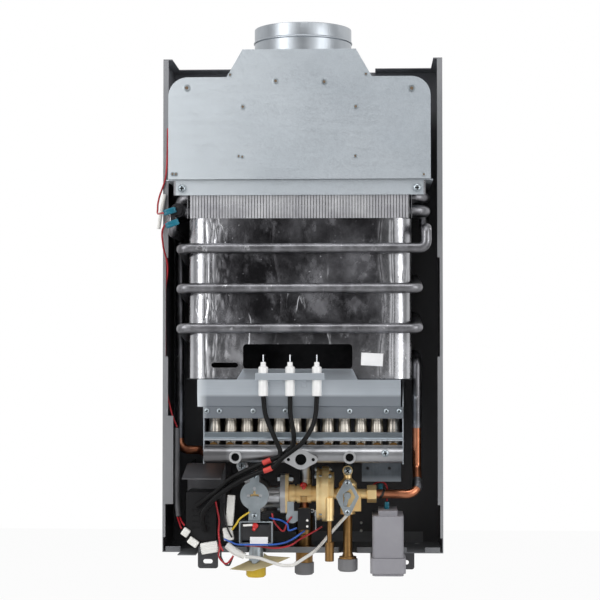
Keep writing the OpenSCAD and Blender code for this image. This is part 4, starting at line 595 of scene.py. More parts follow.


# each CAD solid with its finish, record slot, eased edge in mm and, if it moves, its body
dressed = {
    "chassis": ("casePaint", "case_paint", 0.3),
    "bottom_plate": ("greySheet", "grey_sheet", 0.3),
    "wall_brackets": ("galvanised", "bright_steel", 0.3),
    "flue_collar": ("rolledCollar", "bright_steel", 0),
    "draft_hood": ("galvanised", "galvanised", 0.3),
    "hood_front_plate": ("galvanised", "galvanised", 0.3),
    "hood_base": ("galvanised", "galvanised", 0.3),
    "sheet_screws": ("zincPlate", "bright_steel", 0.4),
    "fin_pack": ("finSheet", "tinned_copper", 0),
    "fin_tubes": ("tinnedCoil", "tinned_copper", 0),
    "union_nut": ("brass", "brass", 0.9),
    "overheat_thermostat": ("darkSteel", "dark_steel", 0.5),
    "burner_box": ("boxSteel", "galvanised", 0.3),
    "burner_front_plate": ("plateSteel", "galvanised", 0.4),
    "burners": ("stainless", "stainless", 0.4),
    "burner_rail": ("railSteel", "galvanised", 0.4),
    "gas_manifold": ("manifoldAlloy", "cast_aluminium", 0.7),
    "nozzles": ("turnedBrass", "brass", 0.3),
    "electrode_bracket": ("plateSteel", "bright_steel", 0.3),
    "electrodes": ("ceramic", "ceramic", 0.8),
    "electrode_needles": ("brightSteel", "bright_steel", 0),
    "gas_valve_body": ("castAluminium", "cast_aluminium", 0.8),
    "gas_valve_plate": ("zincPlate", "zinc_plate", 0.4),
    "gas_spindle": ("brass", "brass", 0.4, "gas_knob"),
    "solenoid_frame": ("zincPlate", "bright_steel", 0.4),
    "solenoid_coil": ("coilWrap", "coil_wrap", 0.4),
    "gas_inlet": ("zincPlate", "bright_steel", 0.4),
    "gas_cap": ("yellowPlastic", "yellow_plastic", 0.8, "gas_plug"),
    "valve_neck": ("brass", "brass", 0.6),
    "diaphragm": ("blackRubber", "rubber", 0.2),
    "water_section": ("brass", "brass", 0.7),
    "control_plate": ("zincPlate", "zinc_plate", 0.4),
    "water_spindle": ("zincPlate", "zinc_plate", 0.4, "water_lever"),
    "drain_plug": ("turnedBrass", "brass", 0.4, "drain"),
    "water_inlet": ("turnedBrass", "brass", 0.4),
    "water_cap": ("capPlastic", "grey_plastic", 0.8, "water_plug"),
    "hot_outlet": ("turnedBrass", "copper", 0.5),
    "hot_cap": ("capPlastic", "grey_plastic", 0.8, "hot_plug"),
    "valve_bolts": ("zincPlate", "zinc_plate", 0.4),
    "linkage_rod": ("brightSteel", "bright_steel", 0.3, "push_rod"),
    "switch_bracket": ("zincPlate", "zinc_plate", 0.3),
    "microswitch": ("blackPlastic", "black_plastic", 0.4),
    "switch_leaf": ("brightSteel", "bright_steel", 0.15, "switch_arm"),
    "drip_plate": ("shadedDripSteel", "galvanised", 0.3),
    "controller_shield": ("shieldSteel", "dark_steel", 0.3),
    "ignition_controller": ("blackPlastic", "black_plastic", 1.0),
    "battery_box": ("greyPlastic", "grey_plastic", 0.8),
    "battery_lid": ("greyPlastic", "grey_plastic", 0.8, "battery_tray"),
    "batteries": ("cellJacket", "cell", 0.8, "battery_tray"),
}
for node, look in dressed.items():
    easedCopy(easeSet, node, *look)
print("CAD solids dressed:", len(dressed))

shellSet = {
    "left": -136, "right": 132, "front": -150, "rear": -26, "foot": -89, "top": 102, "roof": 147, "corner": 23,
    "rearCorner": 4, "arcSteps": (19, 4), "step": 1.2, "coarser": 5, "rise": 1.7, "sheet": 1.0, "smooth": 60,
    "ear": 16, "earDepth": (-152, -149), "earHeight": (129.5, 147), "snap": 0.55, "cutDepth": 4,
    "fadeSide": (4, 20), "fadeRim": 6, "fadeHole": 8, "pressed": (-0.4, 2), "dentShare": 0.6,
    "waves": [(0.35, 17, 1.3, 29, 21, 0.8), (0.25, 9.1, 14.3, 11.7, 31)], "creaseWave": 23,
    "seed": 7, "crumples": 46, "crumpleTall": 2.2, "crumple": [(-112, -86), (-84, 98), (1.6, 4.2), (-0.7, 0.7)],
    "creases": [(-113, 1.2, 1.3, 0.8), (-104, 2.2, 1.0, 0.5), (108, 0.8, 1.2, 0.8), (96, 3, 1.6, 0.4),
                (-30, 5, 2, 0.25)],
    "window": (-69, 61, -77, -48, 4), "slot": (-107, -75, -76, -70, 3),
    "dents": [(-92, -38, 15, 1.1), (-96, 22, 12, -0.9), (-88, 64, 16, 1.0), (-40, 40, 18, -0.9), (-6, 72, 20, 0.8),
              (14, 28, 14, 0.8), (30, -20, 22, -0.8), (52, 40, 16, 0.9), (84, 66, 15, -1.0), (88, 8, 13, 1.0),
              (92, -54, 14, 1.1), (-98, -60, 12, -1.0), (-20, -14, 20, 0.7), (66, -36, 12, -0.7)],
}


# distance to a rectangle with round corners, below zero inside it
def roundedDistance(x, z, x0, x1, z0, z1, r):
    dx = np.abs(x - (x0 + x1) / 2) - (x1 - x0) / 2 + r
    dz = np.abs(z - (z0 + z1) / 2) - (z1 - z0) / 2 + r
    return np.hypot(np.maximum(dx, 0), np.maximum(dz, 0)) + np.minimum(np.maximum(dx, dz), 0) - r


# distance to the nearer of the shell's two cut-outs
def holeDistance(s, x, z):
    return np.minimum(roundedDistance(x, z, *s["window"]), roundedDistance(x, z, *s["slot"]))


# how far the shell's front is pressed in: slow waves, bell-shaped dents, crumples beside the left corner and long
# creases, all dying out at the corners, the rims and the cut-outs
def shellRelief(s, x, z):
    hole = holeDistance(s, x, z)
    inset, reach = s["fadeSide"]
    fade = np.clip((np.minimum(x - s["left"], s["right"] - x) - inset) / reach, 0, 1)
    fade = fade * np.clip((s["top"] - z) / s["fadeRim"], 0, 1) * np.clip((z - s["foot"]) / s["fadeRim"], 0, 1)
    fade = fade * np.clip(hole / s["fadeHole"], 0, 1)
    (slow, xLong, sway, zSway, zLong, shift), (quick, xShort, zSlant, zShort, xSlant) = s["waves"]
    relief = slow * np.sin(x / xLong + sway * np.sin(z / zSway)) * np.sin(z / zLong + shift)
    relief += quick * np.sin(x / xShort + z / zSlant) * np.sin(z / zShort - x / xSlant)
    for cx, cz, reach, depth in s["dents"]:
        relief += depth * np.exp(-((x - cx) ** 2 + (z - cz) ** 2) / reach ** 2)
    relief = np.abs(relief) * s["dentShare"]
    draw = np.random.default_rng(s["seed"])
    for cx, cz, reach, depth in draw.uniform(*zip(*s["crumple"]), (s["crumples"], 4)):
        relief += depth * np.exp(-((x - cx) ** 2 + ((z - cz) / s["crumpleTall"]) ** 2) / reach ** 2)
    for cx, sway, width, depth in s["creases"]:
        relief += depth * np.exp(-np.abs(x - cx - sway * np.sin(z / s["creaseWave"] + cx)) / width)
    return np.clip(relief, *s["pressed"]) * fade


# combustion shell: a round-cornered loop carried up, pressed in on its front, with the window and the slot cut
# out, their rims drawn onto the cut's own outline and kept sharp, and its inside dark
def makeShell(s):
    w, d, r = s["right"] - s["left"], s["rear"] - s["front"], s["corner"]
    mx, my = (s["right"] + s["left"]) / 2, (s["rear"] + s["front"]) / 2
    arcs = []
    for sx, sy, turn in [(-1, -1, 180), (1, -1, 270), (1, 1, 0), (-1, 1, 90)]:
        q, steps = (r, s["arcSteps"][0]) if sy < 0 else (s["rearCorner"], s["arcSteps"][1])
        a = np.radians(turn + np.linspace(0, 90, steps))
        arcs.append(np.stack([mx + sx * (w / 2 - q) + q * np.cos(a), my + sy * (d / 2 - q) + q * np.sin(a)], 1))
    front = dense(np.vstack(arcs[:2]), s["step"])
    rest = dense(np.vstack([arcs[1][-1:], *arcs[2:], arcs[0][:1]]), s["step"] * s["coarser"])
    loop = np.vstack([front, rest[1:-1]])
    levels = np.linspace(s["foot"], s["top"], round((s["top"] - s["foot"]) / s["rise"]) + 1)
    x = np.broadcast_to(loop[:, 0], (len(levels), len(loop))).copy()
    y = np.broadcast_to(loop[:, 1], x.shape).copy()
    z = np.broadcast_to(levels[:, None], x.shape).copy()
    e = 0.01
    onFront = y < s["front"] + e
    for shape in ("window", "slot"):
        gap = roundedDistance(x, z, *s[shape])
        gx = (roundedDistance(x + e, z, *s[shape]) - gap) / e
        gz = (roundedDistance(x, z + e, *s[shape]) - gap) / e
        near = onFront & (np.abs(gap) < s["rise"] * s["snap"])
        x, z = np.where(near, x - gap * gx, x), np.where(near, z - gap * gz, z)
    y = y + np.where(y < s["front"] + r, shellRelief(s, x, z), 0)
    points = np.stack([x, y, z], -1).reshape(-1, 3)
    faces = gridFaces(len(levels), len(loop), True)
    middle = points[faces].mean(1)
    keep = (holeDistance(s, middle[:, 0], middle[:, 2]) >= 0) | (middle[:, 1] >= s["front"] + s["cutDepth"])
    parts = [(points, faces[keep])]
    piece = makePiece("combustionShell", parts, "tinnedShell", "tinned_copper", "exchanger_shell", s["smooth"])
    wall = piece.modifiers.new("sheet", "SOLIDIFY")
    wall.thickness = s["sheet"] / 1000
    wall.offset = -1
    mesh = piece.data
    edgeOfLoop, sharp = np.empty(len(mesh.loops), np.int32), np.empty(len(mesh.edges), bool)
    mesh.loops.foreach_get("edge_index", edgeOfLoop)
    mesh.edges.foreach_get("use_edge_sharp", sharp)
    mesh.edges.foreach_set("use_edge_sharp", sharp | (np.bincount(edgeOfLoop, minlength=len(sharp)) == 1))
    mesh.materials.append(finishes["darkSteel"])
    wall.material_offset = 1
    wall.material_offset_rim = 1


# box between two values on each axis
def boxForm(xs, ys, zs):
    corners = np.array([[x, y, z] for x in xs for y in ys for z in zs])
    return corners, [[0, 1, 3, 2], [4, 6, 7, 5], [0, 4, 5, 1], [2, 3, 7, 6], [0, 2, 6, 4], [1, 5, 7, 3]]


# sheets round the fins above the shell: two at the sides, one behind and an ear at each side in front
def makeEndPlates(s):
    depth, height = (s["front"], s["rear"]), (s["top"], s["roof"])
    parts = [boxForm((x, x + s["sheet"]), depth, height) for x in (s["left"], s["right"] - s["sheet"])]
    parts.append(boxForm((s["left"], s["right"]), (s["rear"] - s["sheet"], s["rear"]), height))
    for x in (s["left"] - s["ear"], s["right"]):
        parts.append(boxForm((x, x + s["ear"]), s["earDepth"], s["earHeight"]))
    makePiece("endPlates", parts, "tinnedShell", "tinned_copper", "exchanger_shell")


makeShell(shellSet)
makeEndPlates(shellSet)
print("combustion shell pressed")

mouthSet = {"first": -103.7, "pitch": 19.4, "count": 12, "half": 7.8, "middle": -137.2, "front": 8.6, "rear": 3,
            "foot": -158, "top": -122, "seam": 1.1, "seamHalf": 0.9, "sides": 64, "rings": 37, "shoulder": -149,
            "slope": 16, "taper": 0.2, "rib": 0.012, "ribTurn": 2.1}


# bulged mouth of each burner: ring x = half sin a, y = middle - depth cos a with a pressed seam in front, and the
# rings draw in towards the top and carry shallow ribs
def makeMouths(s):
    a = ringAngles(s["sides"])
    z = np.linspace(s["foot"], s["top"], s["rings"])
    rise = np.clip((z - s["shoulder"]) / s["slope"], 0, 1)
    size = (1 - s["taper"] * rise * rise * (3 - 2 * rise) + s["rib"] * np.sin(z * s["ribTurn"]))[:, None]
    x = s["half"] * np.sin(a)
    ahead = np.cos(a) > 0
    depth = np.where(ahead, s["front"], s["rear"]) * np.cos(a)
    depth = depth - np.where(ahead, s["seam"] * np.exp(-((x / s["seamHalf"]) ** 2)), 0)
    ring = np.stack([size * x, s["middle"] - size * depth, z[:, None] + 0 * x], -1).reshape(-1, 3)
    faces = tubeFaces(s["rings"], s["sides"])
    mouths = [(ring + np.array([s["first"] + s["pitch"] * i, 0, 0]), faces) for i in range(s["count"])]
    makePiece("burnerMouths", mouths, "stainless", "stainless", "burners")


makeMouths(mouthSet)

coilSetting = {"d": 12, "turns": 3, "wrap": 6.9, "bend": 8.6, "foot": -150, "low": -29, "pitch": 47.5, "start": 40,
               "climb": 16, "out": 10, "lift": 24, "inset": 16, "tubeRise": 10, "pipe": 11, "pipeBend": 11,
               "riserGap": 2.2, "riserDrop": 26, "riserDepth": -50, "riserFoot": -165, "step": 3.0, "bendSteps": 8,
               "sides": 20, "swell": [(0.012, 5.3, 0), (0.01, 2.1, 1)]}


# coil wound round the shell: a swept tube whose radius swells by two waves, up to the third of the four lower fin
# tubes; and the riser on the left, from the first of them down to the hot pipe
def makeCoil(s, shell):
    left, right = shell["left"] - s["wrap"], shell["right"] + s["wrap"]
    front, back = shell["front"] - s["wrap"], shell["rear"] + s["wrap"]
    mid = (shell["front"] + shell["rear"]) / 2
    out = right + s["out"]
    firstY, tubeZ = shell["front"] + s["inset"], shell["top"] + s["tubeRise"]
    lastY = firstY + 2 * (shell["rear"] - shell["front"] - 2 * s["inset"]) / 3
    route = [[right, mid, s["foot"]], [right, mid, s["low"] - s["start"]]]
    last = s["turns"] - 1
    for k in range(s["turns"]):
        z = s["low"] + k * s["pitch"]
        route += [[right, back, z - 2 * s["climb"]], [left, back, z - s["climb"]], [left, front, z],
                  [right if k < last else out, front, z]]
    top = s["low"] + last * s["pitch"] + s["lift"]
    route += [[out, front, top], [out, lastY, top], [out, lastY, tubeZ], [shell["right"] + 1, lastY, tubeZ]]
    line = dense(bentRoute(route, s["bend"], s["bendSteps"]), s["step"])
    run = np.arange(len(line))
    radius = s["d"] / 2 * (1 + sum(high * np.sin(run / span + shift) for high, span, shift in s["swell"]))
    x, y, z = shell["left"] - s["d"] - s["pipe"] / 2 - s["riserGap"], s["riserDepth"], tubeZ - s["riserDrop"]
    rise = [[shell["left"] - 1, firstY, tubeZ], [x, firstY, tubeZ], [x, firstY, z], [x, y, z],
            [x, y, s["riserFoot"]]]
    riser = dense(bentRoute(rise, s["pipeBend"], s["bendSteps"]), s["step"])
    parts = [sweptGrid(line, radius, s["sides"]), sweptGrid(riser, s["pipe"] / 2, s["sides"])]
    makePiece("woundCoil", parts, "tinnedCoil", "tinned_copper", "coil_tube")


makeCoil(coilSetting, shellSet)

pipeSet = {
    "d": 11,
    "hot": [[-155.7, -50, -165], [-155.7, -50, -180], [-122.7, -50, -180], [-122.7, -75, -184], [1, -75, -184],
            [1, -75, -262]],
    "supply": [[79, -118, -228], [138.9, -118, -228], [138.9, -88, -198], [138.9, -88, -150]],
    "solder": (-223.5, -212), "bead": 0.7, "edge": 0.25, "sides": 24,
    "hotBend": (12, 8), "hotStep": 4, "supplyBend": (14, 10), "supplyStep": 3,
}


# bent copper pipes, and the solder ring at the elbow of the supply pipe
def makePipes(s):
    r, sides = s["d"] / 2, s["sides"]
    hot = dense(bentRoute(s["hot"], *s["hotBend"]), s["hotStep"])
    makePiece("hotPipe", [sweptGrid(hot, r, sides)], "copper", "copper", "hot_pipe")
    supply = dense(bentRoute(s["supply"], *s["supplyBend"]), s["supplyStep"])
    makePiece("supplyPipe", [sweptGrid(supply, r, sides)], "markedCopper", "copper", "supply_pipe")
    low, high = s["solder"]
    elbow = supply[(supply[:, 2] > low) & (supply[:, 2] < high)]
    swell = r + s["bead"] * np.sin(np.linspace(s["edge"], math.pi - s["edge"], len(elbow))) ** 0.6
    makePiece("solderBead", [sweptGrid(elbow, swell, sides)], "tinnedCoil", "tinned_copper", "supply_pipe")


makePipes(pipeSet)
print("coil and pipes bent")

plugSet = {
    "depth": 8, "back": -138.3, "sleeveForm": {"grooves": 2, "lobes": 24, "power": 3},
    "plugs": [
        [(-138, -272.5), (9, 9), 35, "whiteNylon", 3], [(-129, -284), (13, 8), 35, "whiteNylon", 4],
        [(-109.6, -290.4), (21, 13), -10, "whiteNylon", 5], [(-84.5, -246), (9.5, 36), 4, "whiteNylon", 9],
        [(-87, -274), (12, 15), -8, "whiteNylon", 4], [(-40.5, -252.4), (15, 10.4), 0, "blackPlastic", 4],
    ],
    "sleeves": [[(-156.4, -153.7, 110.4), (15.5, 5.6, 6.8), 16], [(-153.6, -153.7, 95.6), (17, 5.6, 7), 20],
                [(102, -114.3, -242), (6, 5, 8), 0], [(94.5, -104, -221), (6, 4, 8), 0]],
}


# points turned about Y by an angle in degrees
def spun(points, turn):
    a = math.radians(turn)
    return points @ np.array([[math.cos(a), 0, math.sin(a)], [0, 1, 0], [-math.sin(a), 0, math.cos(a)]])


blockSet = {"perGroove": 6, "ease": 0.1, "easePower": 14, "groove": 0.05, "grooveFrom": 0.55, "grooved": 0.9}


# moulded block: a rounded box from the superellipse |x|^n + |y|^n = 1 swept up with eased ends, with grooves
def mouldedBlock(size, grooves, lobes=28, power=6):
    b = blockSet
    a = ringAngles(lobes)
    c, n = np.cos(a), np.sin(a)
    ex = np.sign(c) * np.abs(c) ** (2 / power)
    ey = np.sign(n) * np.abs(n) ** (2 / power)
    t = np.linspace(-1, 1, b["perGroove"] * grooves + 3)
    pressed = (np.cos(t * math.pi * grooves) > b["grooveFrom"]) & (np.abs(t) < b["grooved"])
    inset = 1 - b["ease"] * np.abs(t) ** b["easePower"] - b["groove"] * pressed
    x = size[0] / 2 * inset[:, None] * ex[None]
    y = size[1] / 2 * inset[:, None] * ey[None]
    z = np.broadcast_to((t * size[2] / 2)[:, None], x.shape)
    return np.stack([x, y, z], -1).reshape(-1, 3), tubeFaces(len(t), lobes)


# plugs that lie on the wires, each with its size, turn and grooves, and the sleeves of the spade terminals
def makePlugs(s):
    for i, ((x, z), (w, h), turn, finish, grooves) in enumerate(s["plugs"]):
        points, faces = mouldedBlock((w, s["depth"], h), grooves)
        placed = spun(points, -turn) + np.array([x, s["back"] - s["depth"] / 2, z])
        makePiece("plug" + str(i), [(placed, faces)], finish, "white_plastic", "connectors")
    for i, (spot, size, turn) in enumerate(s["sleeves"]):
        points, faces = mouldedBlock(size, **s["sleeveForm"])
        placed = spun(points, turn) + np.array(spot)
        makePiece("spadeSleeve" + str(i), [(placed, faces)], "tealSleeve", "white_plastic", "connectors")


makePlugs(plugSet)

tagSet = {
    "spot": (-55.5, -118, -302.6), "tilt": (38, -11), "lift": 0.3, "curl": 1.1, "flat": 8, "tip": 30, "hole": 9.4,
    "snap": 0.7, "rows": 49, "cols": 25, "paper": 0.4, "solid": -132,
    "lower": ([0, 0.36, 0.62, 1], [-33, -6, 13, 41], [-15.5, -25, -22.5, -15.5]),
    "upper": ([0, 0.34, 0.4, 0.6, 0.68, 1], [-33, -8, -8, 8, 14, 41], [-15.5, -6, 4, 4, -4.5, -15.5]),
    "screw": (-56.5, -307, 4.4),
}


# sheet given a thickness in mm, to both sides alike
def thicken(piece, thickness):
    wall = piece.modifiers.new("paper", "SOLIDIFY")
    wall.thickness = thickness / 1000
    wall.offset = 0


# paper tag: rows ruled between its two long edges, curling up towards its tips and laid over at a slant, with the
# rim of its hole drawn onto the pipe's round
def makeTag(s):
    t = np.linspace(0, 1, s["rows"])
    low, high = (np.stack([np.interp(t, at, x), np.interp(t, at, y)], 1) for at, x, y in (s["lower"], s["upper"]))
    v = np.linspace(0, 1, s["cols"])[None, :, None]
    flat = low[:, None] * (1 - v) + high[:, None] * v
    z = s["lift"] + s["curl"] * np.clip((np.abs(flat[..., 0]) - s["flat"]) / s["tip"], 0, 1) ** 2
    ax, ay = np.radians(s["tilt"])
    turnX = np.array([[1, 0, 0], [0, math.cos(ax), -math.sin(ax)], [0, math.sin(ax), math.cos(ax)]])
    turnY = np.array([[math.cos(ay), 0, math.sin(ay)], [0, 1, 0], [-math.sin(ay), 0, math.cos(ay)]])
    p = np.stack([flat[..., 0], flat[..., 1], z], -1).reshape(-1, 3) @ (turnY @ turnX).T
    away = np.hypot(p[:, 0], p[:, 1])
    near = np.abs(away - s["hole"]) < s["snap"]
    p[:, :2] *= np.where(near, s["hole"] / np.maximum(away, 0.1), 1)[:, None]
    p = p + np.array(s["spot"])
    faces = gridFaces(s["rows"], s["cols"], False)
    m = p[faces].mean(1)
    x, z, r = s["screw"]
    free = np.hypot(m[:, 0] - s["spot"][0], m[:, 1] - s["spot"][1]) > s["hole"]
    free &= (np.hypot(m[:, 0] - x, m[:, 2] - z) > r) | (m[:, 1] < s["solid"])
    thicken(makePiece("paperTag", [(p, faces[free])], "tagPaper", "tag_paper", "gas_tag"), s["paper"])


makeTag(tagSet)
print("plugs and tag made")

detailSet = {
    "hoodFace": -158.6,
    "clinches": [(-135.8, 257.2, 1.7), (-84.1, 272.7, 1), (-29.8, 264.9, 1.4), (27.9, 263.6, 1.4),
                 (77.5, 272.7, 1), (131.7, 255.3, 1.7), (-69, 234.3, 1.2), (65.3, 234, 1.2), (-73.7, 175.5, 0.9),
                 (-69.4, 174.8, 0.9), (64.8, 175.1, 1), (-152.7, 154.4, 1), (-148.7, 154.2, 1), (145.8, 152.9, 1)],
    "rim": [(2.5, 0), (2.5, -0.1), (2.1, -0.3), (1.6, -0.2)], "pit": [(1.2, -0.16), (1.1, -0.34)],
    "boreShadeDiscs": [((-76, -173.5, -180.5), 4.7), ((58, -173.5, -180.5), 4.7), ((1, -173, -183), 6.5),
              ((-13.5, -178.6, -183), 1.9), ((15.5, -178.6, -183), 1.9)],
    "screw": (99.6, -175.8), "screwFace": -171.6, "head": [(4.4, 0), (4.4, -1.6), (3.7, -2.6), (2.2, -3)],
    "pans": [(-111, -165.2, -127, 3), (-96, -165.2, -127, 3), (-56, -165.2, -127, 3), (-18, -165.2, -127, 3),
             (58, -165.2, -127, 3), (101, -165.2, -127, 3), (116, -165.2, -127, 3), (-142, -155.76, 137.5, 4.6),
             (138, -155.76, 137.5, 4.6), (55, -150.8, -212.5, 3), (55, -150.8, -247, 3), (-55.5, -150, -205, 3.4),
             (-55.5, -150, -252, 3.4), (-73.5, -113, -195.5, 5), (55, -126, -200, 5), (99.6, -173.7, -175.8, 4.2)],
    "pan": [(0.97, 0.15), (0.95, -0.06), (0.74, -0.24), (0.4, -0.33)], "cross": (0.6, 0.15, -0.3),
    "throat": [(-46, 9), (-46, 11.5), (-27.8, 11.5), (-26.2, 12.6), (-26.2, 9)], "throatSpot": (0, -118, -234),
    "throatSides": 48, "headSides": 30, "barSides": 8,
    "dropRows": 13, "dropSides": 20, "dropWaves": (0.1, 0.07), "pole": 0.06,
    "dots": [(8.1, -255), (8.1, -262)], "dotFace": -166.2, "dot": [(1.45, 0), (1.45, -1.6), (1.1, -1.9)],
    "rivets": [(70.5, -274.9), (70.5, -285.1)], "rivetFace": -1.4, "rivet": [(1.9, 0), (1.8, -0.8), (1.0, -1.2)],
    "markers": [(0, 91, 10.5), (2, 112, 10.5)], "markerD": 6.4, "markerStep": 0.8, "markerSides": 20,
    "seals": [((1.5, -121.5, -217.6), (4.2, 3.4, 3.8)), ((2.2, -125.2, -221), (2.4, 1.8, 3.4)),
              ((-54.5, -151.6, -263.5), (3.6, 1.8, 3.6)), ((-55.8, -151.8, -267.4), (2.2, 1.4, 2.2))],
    "tie": [(-63, -152.8, -262.4), (11.5, 1.8, 2.4), 4],
    "shellLabel": (84.4, -66.2, 26, 15.2, -3), "coilLabel": (-49.7, -281.6, 21.4, 10.6, 0), "coilFace": -152.3,
    "labelGrid": (19, 13), "labelLift": 0.2, "label": 0.2, "paleD": 4.4, "paleSpan": 12, "paleSides": 16,
    "paleSleeve": [[-174.4, -117, 92], [-172.6, -115.5, 106], [-170, -114, 121], [-167.4, -113.4, 134]],
}


# form turned about a line along Y, from the back to the front: point = spot + (r cos a, depth, r sin a)
def turned(profile, spot, sides=24):
    r, depth = np.array(profile, float).T[:, :, None]
    a = ringAngles(sides)
    points = np.stack([r * np.cos(a), depth + 0 * a, r * np.sin(a)], -1)
    return points.reshape(-1, 3) + np.array(spot, float), tubeFaces(len(r), sides)


# drop of sealing paint: a ball stretched along its axes, with two waves round it
def paintDrop(s, spot, size):
    t = np.linspace(s["pole"], math.pi - s["pole"], s["dropRows"])[:, None]
    a = ringAngles(s["dropSides"])[None]
    three, two = s["dropWaves"]
    r = 1 + three * np.sin(3 * a + spot[0]) * np.sin(t) + two * np.sin(2 * a + 4 * t)
    points = np.stack([r * np.sin(t) * np.cos(a), r * np.sin(t) * np.sin(a), -np.cos(t) * np.ones_like(a)], -1)
    return points.reshape(-1, 3) * np.array(size) + np.array(spot), tubeFaces(s["dropRows"], s["dropSides"])


# blank paper label: a grid that follows the surface behind it
def makeLabel(s, name, face, node):
    x, z, w, h, turn = s[name]
    cols, rows = s["labelGrid"]
    u, v = np.meshgrid(np.linspace(-w / 2, w / 2, cols), np.linspace(-h / 2, h / 2, rows))
    flat = spun(np.stack([u, np.zeros_like(u), v], -1).reshape(-1, 3), turn)
    px, pz = flat[:, 0] + x, flat[:, 2] + z
    points = np.stack([px, face(px, pz) - s["labelLift"], pz], -1)
    faces = gridFaces(rows, cols, False)
    thicken(makePiece(name, [(points, faces)], "labelPaper", "tag_paper", node), s["label"])


# ring turned about a line along X, hollow and closed back onto its first edge
def throatRing(s):
    along, r = np.array(s["throat"], float).T[:, :, None]
    n = s["throatSides"]
    a = ringAngles(n)
    wall = np.stack([along + 0 * a, r * np.cos(a), r * np.sin(a)], -1).reshape(-1, 3)
    last = len(wall) - n
    seam = [[j, (j + 1) % n, last + (j + 1) % n, last + j] for j in range(n)]
    return wall + np.array(s["throatSpot"]), gridFaces(len(r), n, True).tolist() + seam


# two dark bars across a screw head that paint the shade in its cross recess, turned by its place
def crossBars(s, x, y, z, r):
    reach, half, depth = s["cross"]
    for turn in (x + z, x + z + 90):
        way = np.array([math.cos(math.radians(turn)), 0, math.sin(math.radians(turn))]) * reach * r
        middle = np.array([x, y + depth * r, z])
        yield sweptGrid(np.stack([middle - way, middle, middle + way]), half * r, s["barSides"])


# small things on the surfaces: marks, dark discs of painted shade in the bores, screw heads with dark bars of
# painted shade for their cross recesses, the valve's collar, dots, rivets, lead markers, paint, a tie, a sleeve
# and labels
def makeDetails(s):
    for name, profile, finish in (("clinchRims", "rim", "zincPlate"), ("clinchPits", "pit", "scorched")):
        marks = [turned(np.multiply(s[profile], (k, 1)), (x, s["hoodFace"], z)) for x, z, k in s["clinches"]]
        makePiece(name, marks, finish, "galvanised", "hood_front_plate")
    # dark discs inside the bores: painted shade
    boreShadeDiscs = [turned([(r, 1), (r, 0)], spot) for spot, r in s["boreShadeDiscs"]]
    makePiece("manifoldBoreShade", boreShadeDiscs, "boreShadow", "cast_aluminium", "gas_manifold")
    x, z = s["screw"]
    head = turned(s["head"], (x, s["screwFace"], z), s["headSides"])
    makePiece("manifoldScrew", [head], "zincPlate", "zinc_plate", "sheet_screws")
    pans = [turned(np.multiply(s["pan"], r), spot) for *spot, r in s["pans"]]
    makePiece("screwPans", pans, "zincPlate", "zinc_plate", "sheet_screws")
    bars = [bar for pan in s["pans"] for bar in crossBars(s, *pan)]
    makePiece("screwCrossShade", bars, "boreShadow", "zinc_plate", "sheet_screws")
    makePiece("valveThroat", [throatRing(s)], "castAluminium", "cast_aluminium", "gas_valve_body")
    dots = [turned(s["dot"], (x, s["dotFace"], z)) for x, z in s["dots"]]
    makePiece("switchDots", dots, "whiteNylon", "white_plastic", "microswitch")
    rivets = [turned(s["rivet"], (x, s["rivetFace"], z)) for x, z in s["rivets"]]
    makePiece("panelRivets", rivets, "whiteNylon", "zinc_plate", "sheet_screws")
    for i, (lead, middle, run) in enumerate(s["markers"]):
        line = dense(leadLines[lead], s["markerStep"])
        part = line[np.abs(wayAlong(line) - middle) < run / 2]
        band = sweptGrid(part, s["markerD"] / 2, s["markerSides"])
        makePiece("leadMarker" + str(i), [band], "redMarker", "red_insulation", "ignition_leads")
    drops = [paintDrop(s, *drop) for drop in s["seals"]]
    makePiece("sealPaint", drops, "sealPaint", "red_insulation", "valve_neck")
    spot, size, turn = s["tie"]
    points, faces = mouldedBlock(size, 1)
    tie = (spun(points, turn) + np.array(spot), faces)
    makePiece("cableTie", [tie], "whiteNylon", "white_plastic", "connectors")
    sleeve = sweptGrid(smoothRoute(s["paleSleeve"], s["paleSpan"]), s["paleD"] / 2, s["paleSides"])
    makePiece("paleSleeve", [sleeve], "whiteSleeve", "white_plastic", "cable_sleeves")
    makeLabel(s, "shellLabel", lambda x, z: shellSet["front"] + shellRelief(shellSet, x, z), "exchanger_shell")
    makeLabel(s, "coilLabel", lambda x, z: np.full_like(x, s["coilFace"]), "solenoid_frame")


makeDetails(detailSet)
print("small details set")

floorSet = {"z": -0.45, "half": 1.5, "tone": (0.86, 0.86, 0.86, 1), "rough": 0.9, "glow": 0.94}


# pale floor that looks nearly white to the camera and keeps a faint shadow
def makeFloor(s):
    mesh = bpy.data.meshes.new("studioFloor")
    h = s["half"]
    mesh.from_pydata([(-h, -h, s["z"]), (h, -h, s["z"]), (h, h, s["z"]), (-h, h, s["z"])], [], [(0, 1, 2, 3)])
    floor = bpy.data.objects.new("studioFloor", mesh)
    scene.collection.objects.link(floor)
    p = Paint("floorTone")
    p.finish(Base_Color=s["tone"], Roughness=s["rough"])
    ray = p.add("ShaderNodeLightPath", out="Is Camera Ray")
    glow = p.add("ShaderNodeEmission", {}, {"Color": (1, 1, 1, 1), "Strength": 1.0})
    body = Sock(p, p.shader.outputs[0])
    both = p.add("ShaderNodeMixShader", {}, {0: ray * s["glow"], 1: body, 2: glow})
    p.feed(p.tree.nodes["Material Output"].inputs["Surface"], both)
    mesh.materials.append(p.material)


makeFloor(floorSet)

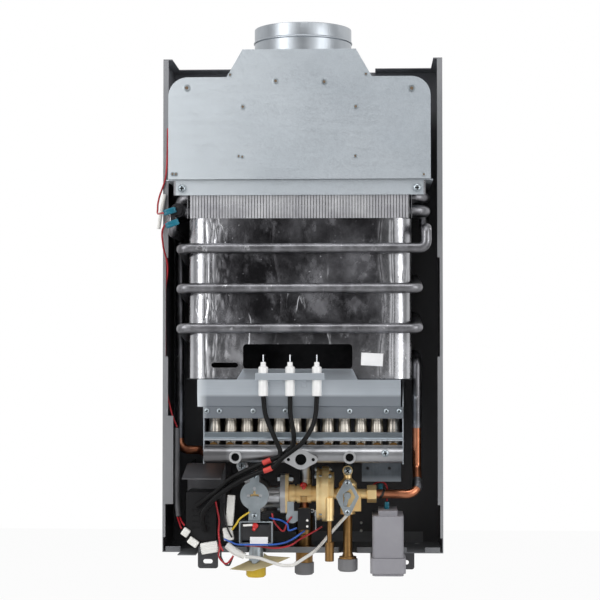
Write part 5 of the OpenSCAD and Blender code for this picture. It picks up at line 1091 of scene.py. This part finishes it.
lightSet = {
    "lamps": [
        ["leftBox", (-1.05, -1.15, 0.5), (0.6, 1.3), 9],
        ["rightBox", (1.6, -1.45, 0.45), (0.8, 1.5), 12],
        ["topBox", (0.0, -1.3, 1.9), (1.6, 0.9), 14],
    ],
    "sky": 0.42, "front": 0.1, "wall": (0.1, 0.24), "wallEnd": (0.84, 0.93), "wallTop": (0.35, 0.7),
    "roof": (0.7, 0.9), "roofGlow": 0.9, "rear": (-0.1, 0.15), "dim": (0.6, 0.8), "aim": (0, -0.08, 0.0),
}


# three soft boxes; what metal mirrors is a dark room end behind the lens between two pale walls, under a pale
# ceiling, with the white backdrop behind the object
def makeLights(s):
    for name, spot, size, power in s["lamps"]:
        data = bpy.data.lights.new(name, "AREA")
        data.shape = "RECTANGLE"
        data.size, data.size_y = size
        data.energy = power
        lamp = bpy.data.objects.new(name, data)
        lamp.location = spot
        lamp.rotation_euler = (Vector(s["aim"]) - Vector(spot)).to_track_quat("-Z", "Y").to_euler()
        scene.collection.objects.link(lamp)
    world = bpy.data.worlds.new("studio")
    scene.world = world
    world.use_nodes = True
    p = Paint("studio", world.node_tree)
    direction = p.add("ShaderNodeTexCoord", out="Generated")
    x, y, z = (p.add("ShaderNodeSeparateXYZ", {}, {0: direction}, i) for i in range(3))
    wide, (dimEnd, dimTop) = abs(x), s["dim"]
    walls = p.ramp(wide, *s["wall"]) * (1 - p.ramp(wide, *s["wallEnd"]) * dimEnd)
    walls = walls * (1 - p.ramp(abs(z), *s["wallTop"]) * dimTop)
    lit = walls.join("MAXIMUM", walls, p.ramp(z, *s["roof"]) * s["roofGlow"])
    lit = lit.join("MAXIMUM", lit, p.ramp(y, *s["rear"]))
    mirrored = p.mix(lit, (s["front"], s["front"], s["front"] * 1.03, 1), (1, 1, 1, 1))
    path = p.tree.nodes.new("ShaderNodeLightPath")
    camera = Sock(p, path.outputs["Is Camera Ray"])
    shiny = Sock(p, path.outputs["Is Glossy Ray"]) + Sock(p, path.outputs["Is Transmission Ray"])
    colour = p.mix(shiny, (s["sky"], s["sky"], s["sky"], 1), mirrored)
    colour = p.mix(camera, colour, (1, 1, 1, 1))
    background = p.tree.nodes["Background"]
    p.feed(background.inputs["Color"], colour)
    background.inputs["Strength"].default_value = 1.0


makeLights(lightSet)
print("stage and light set")
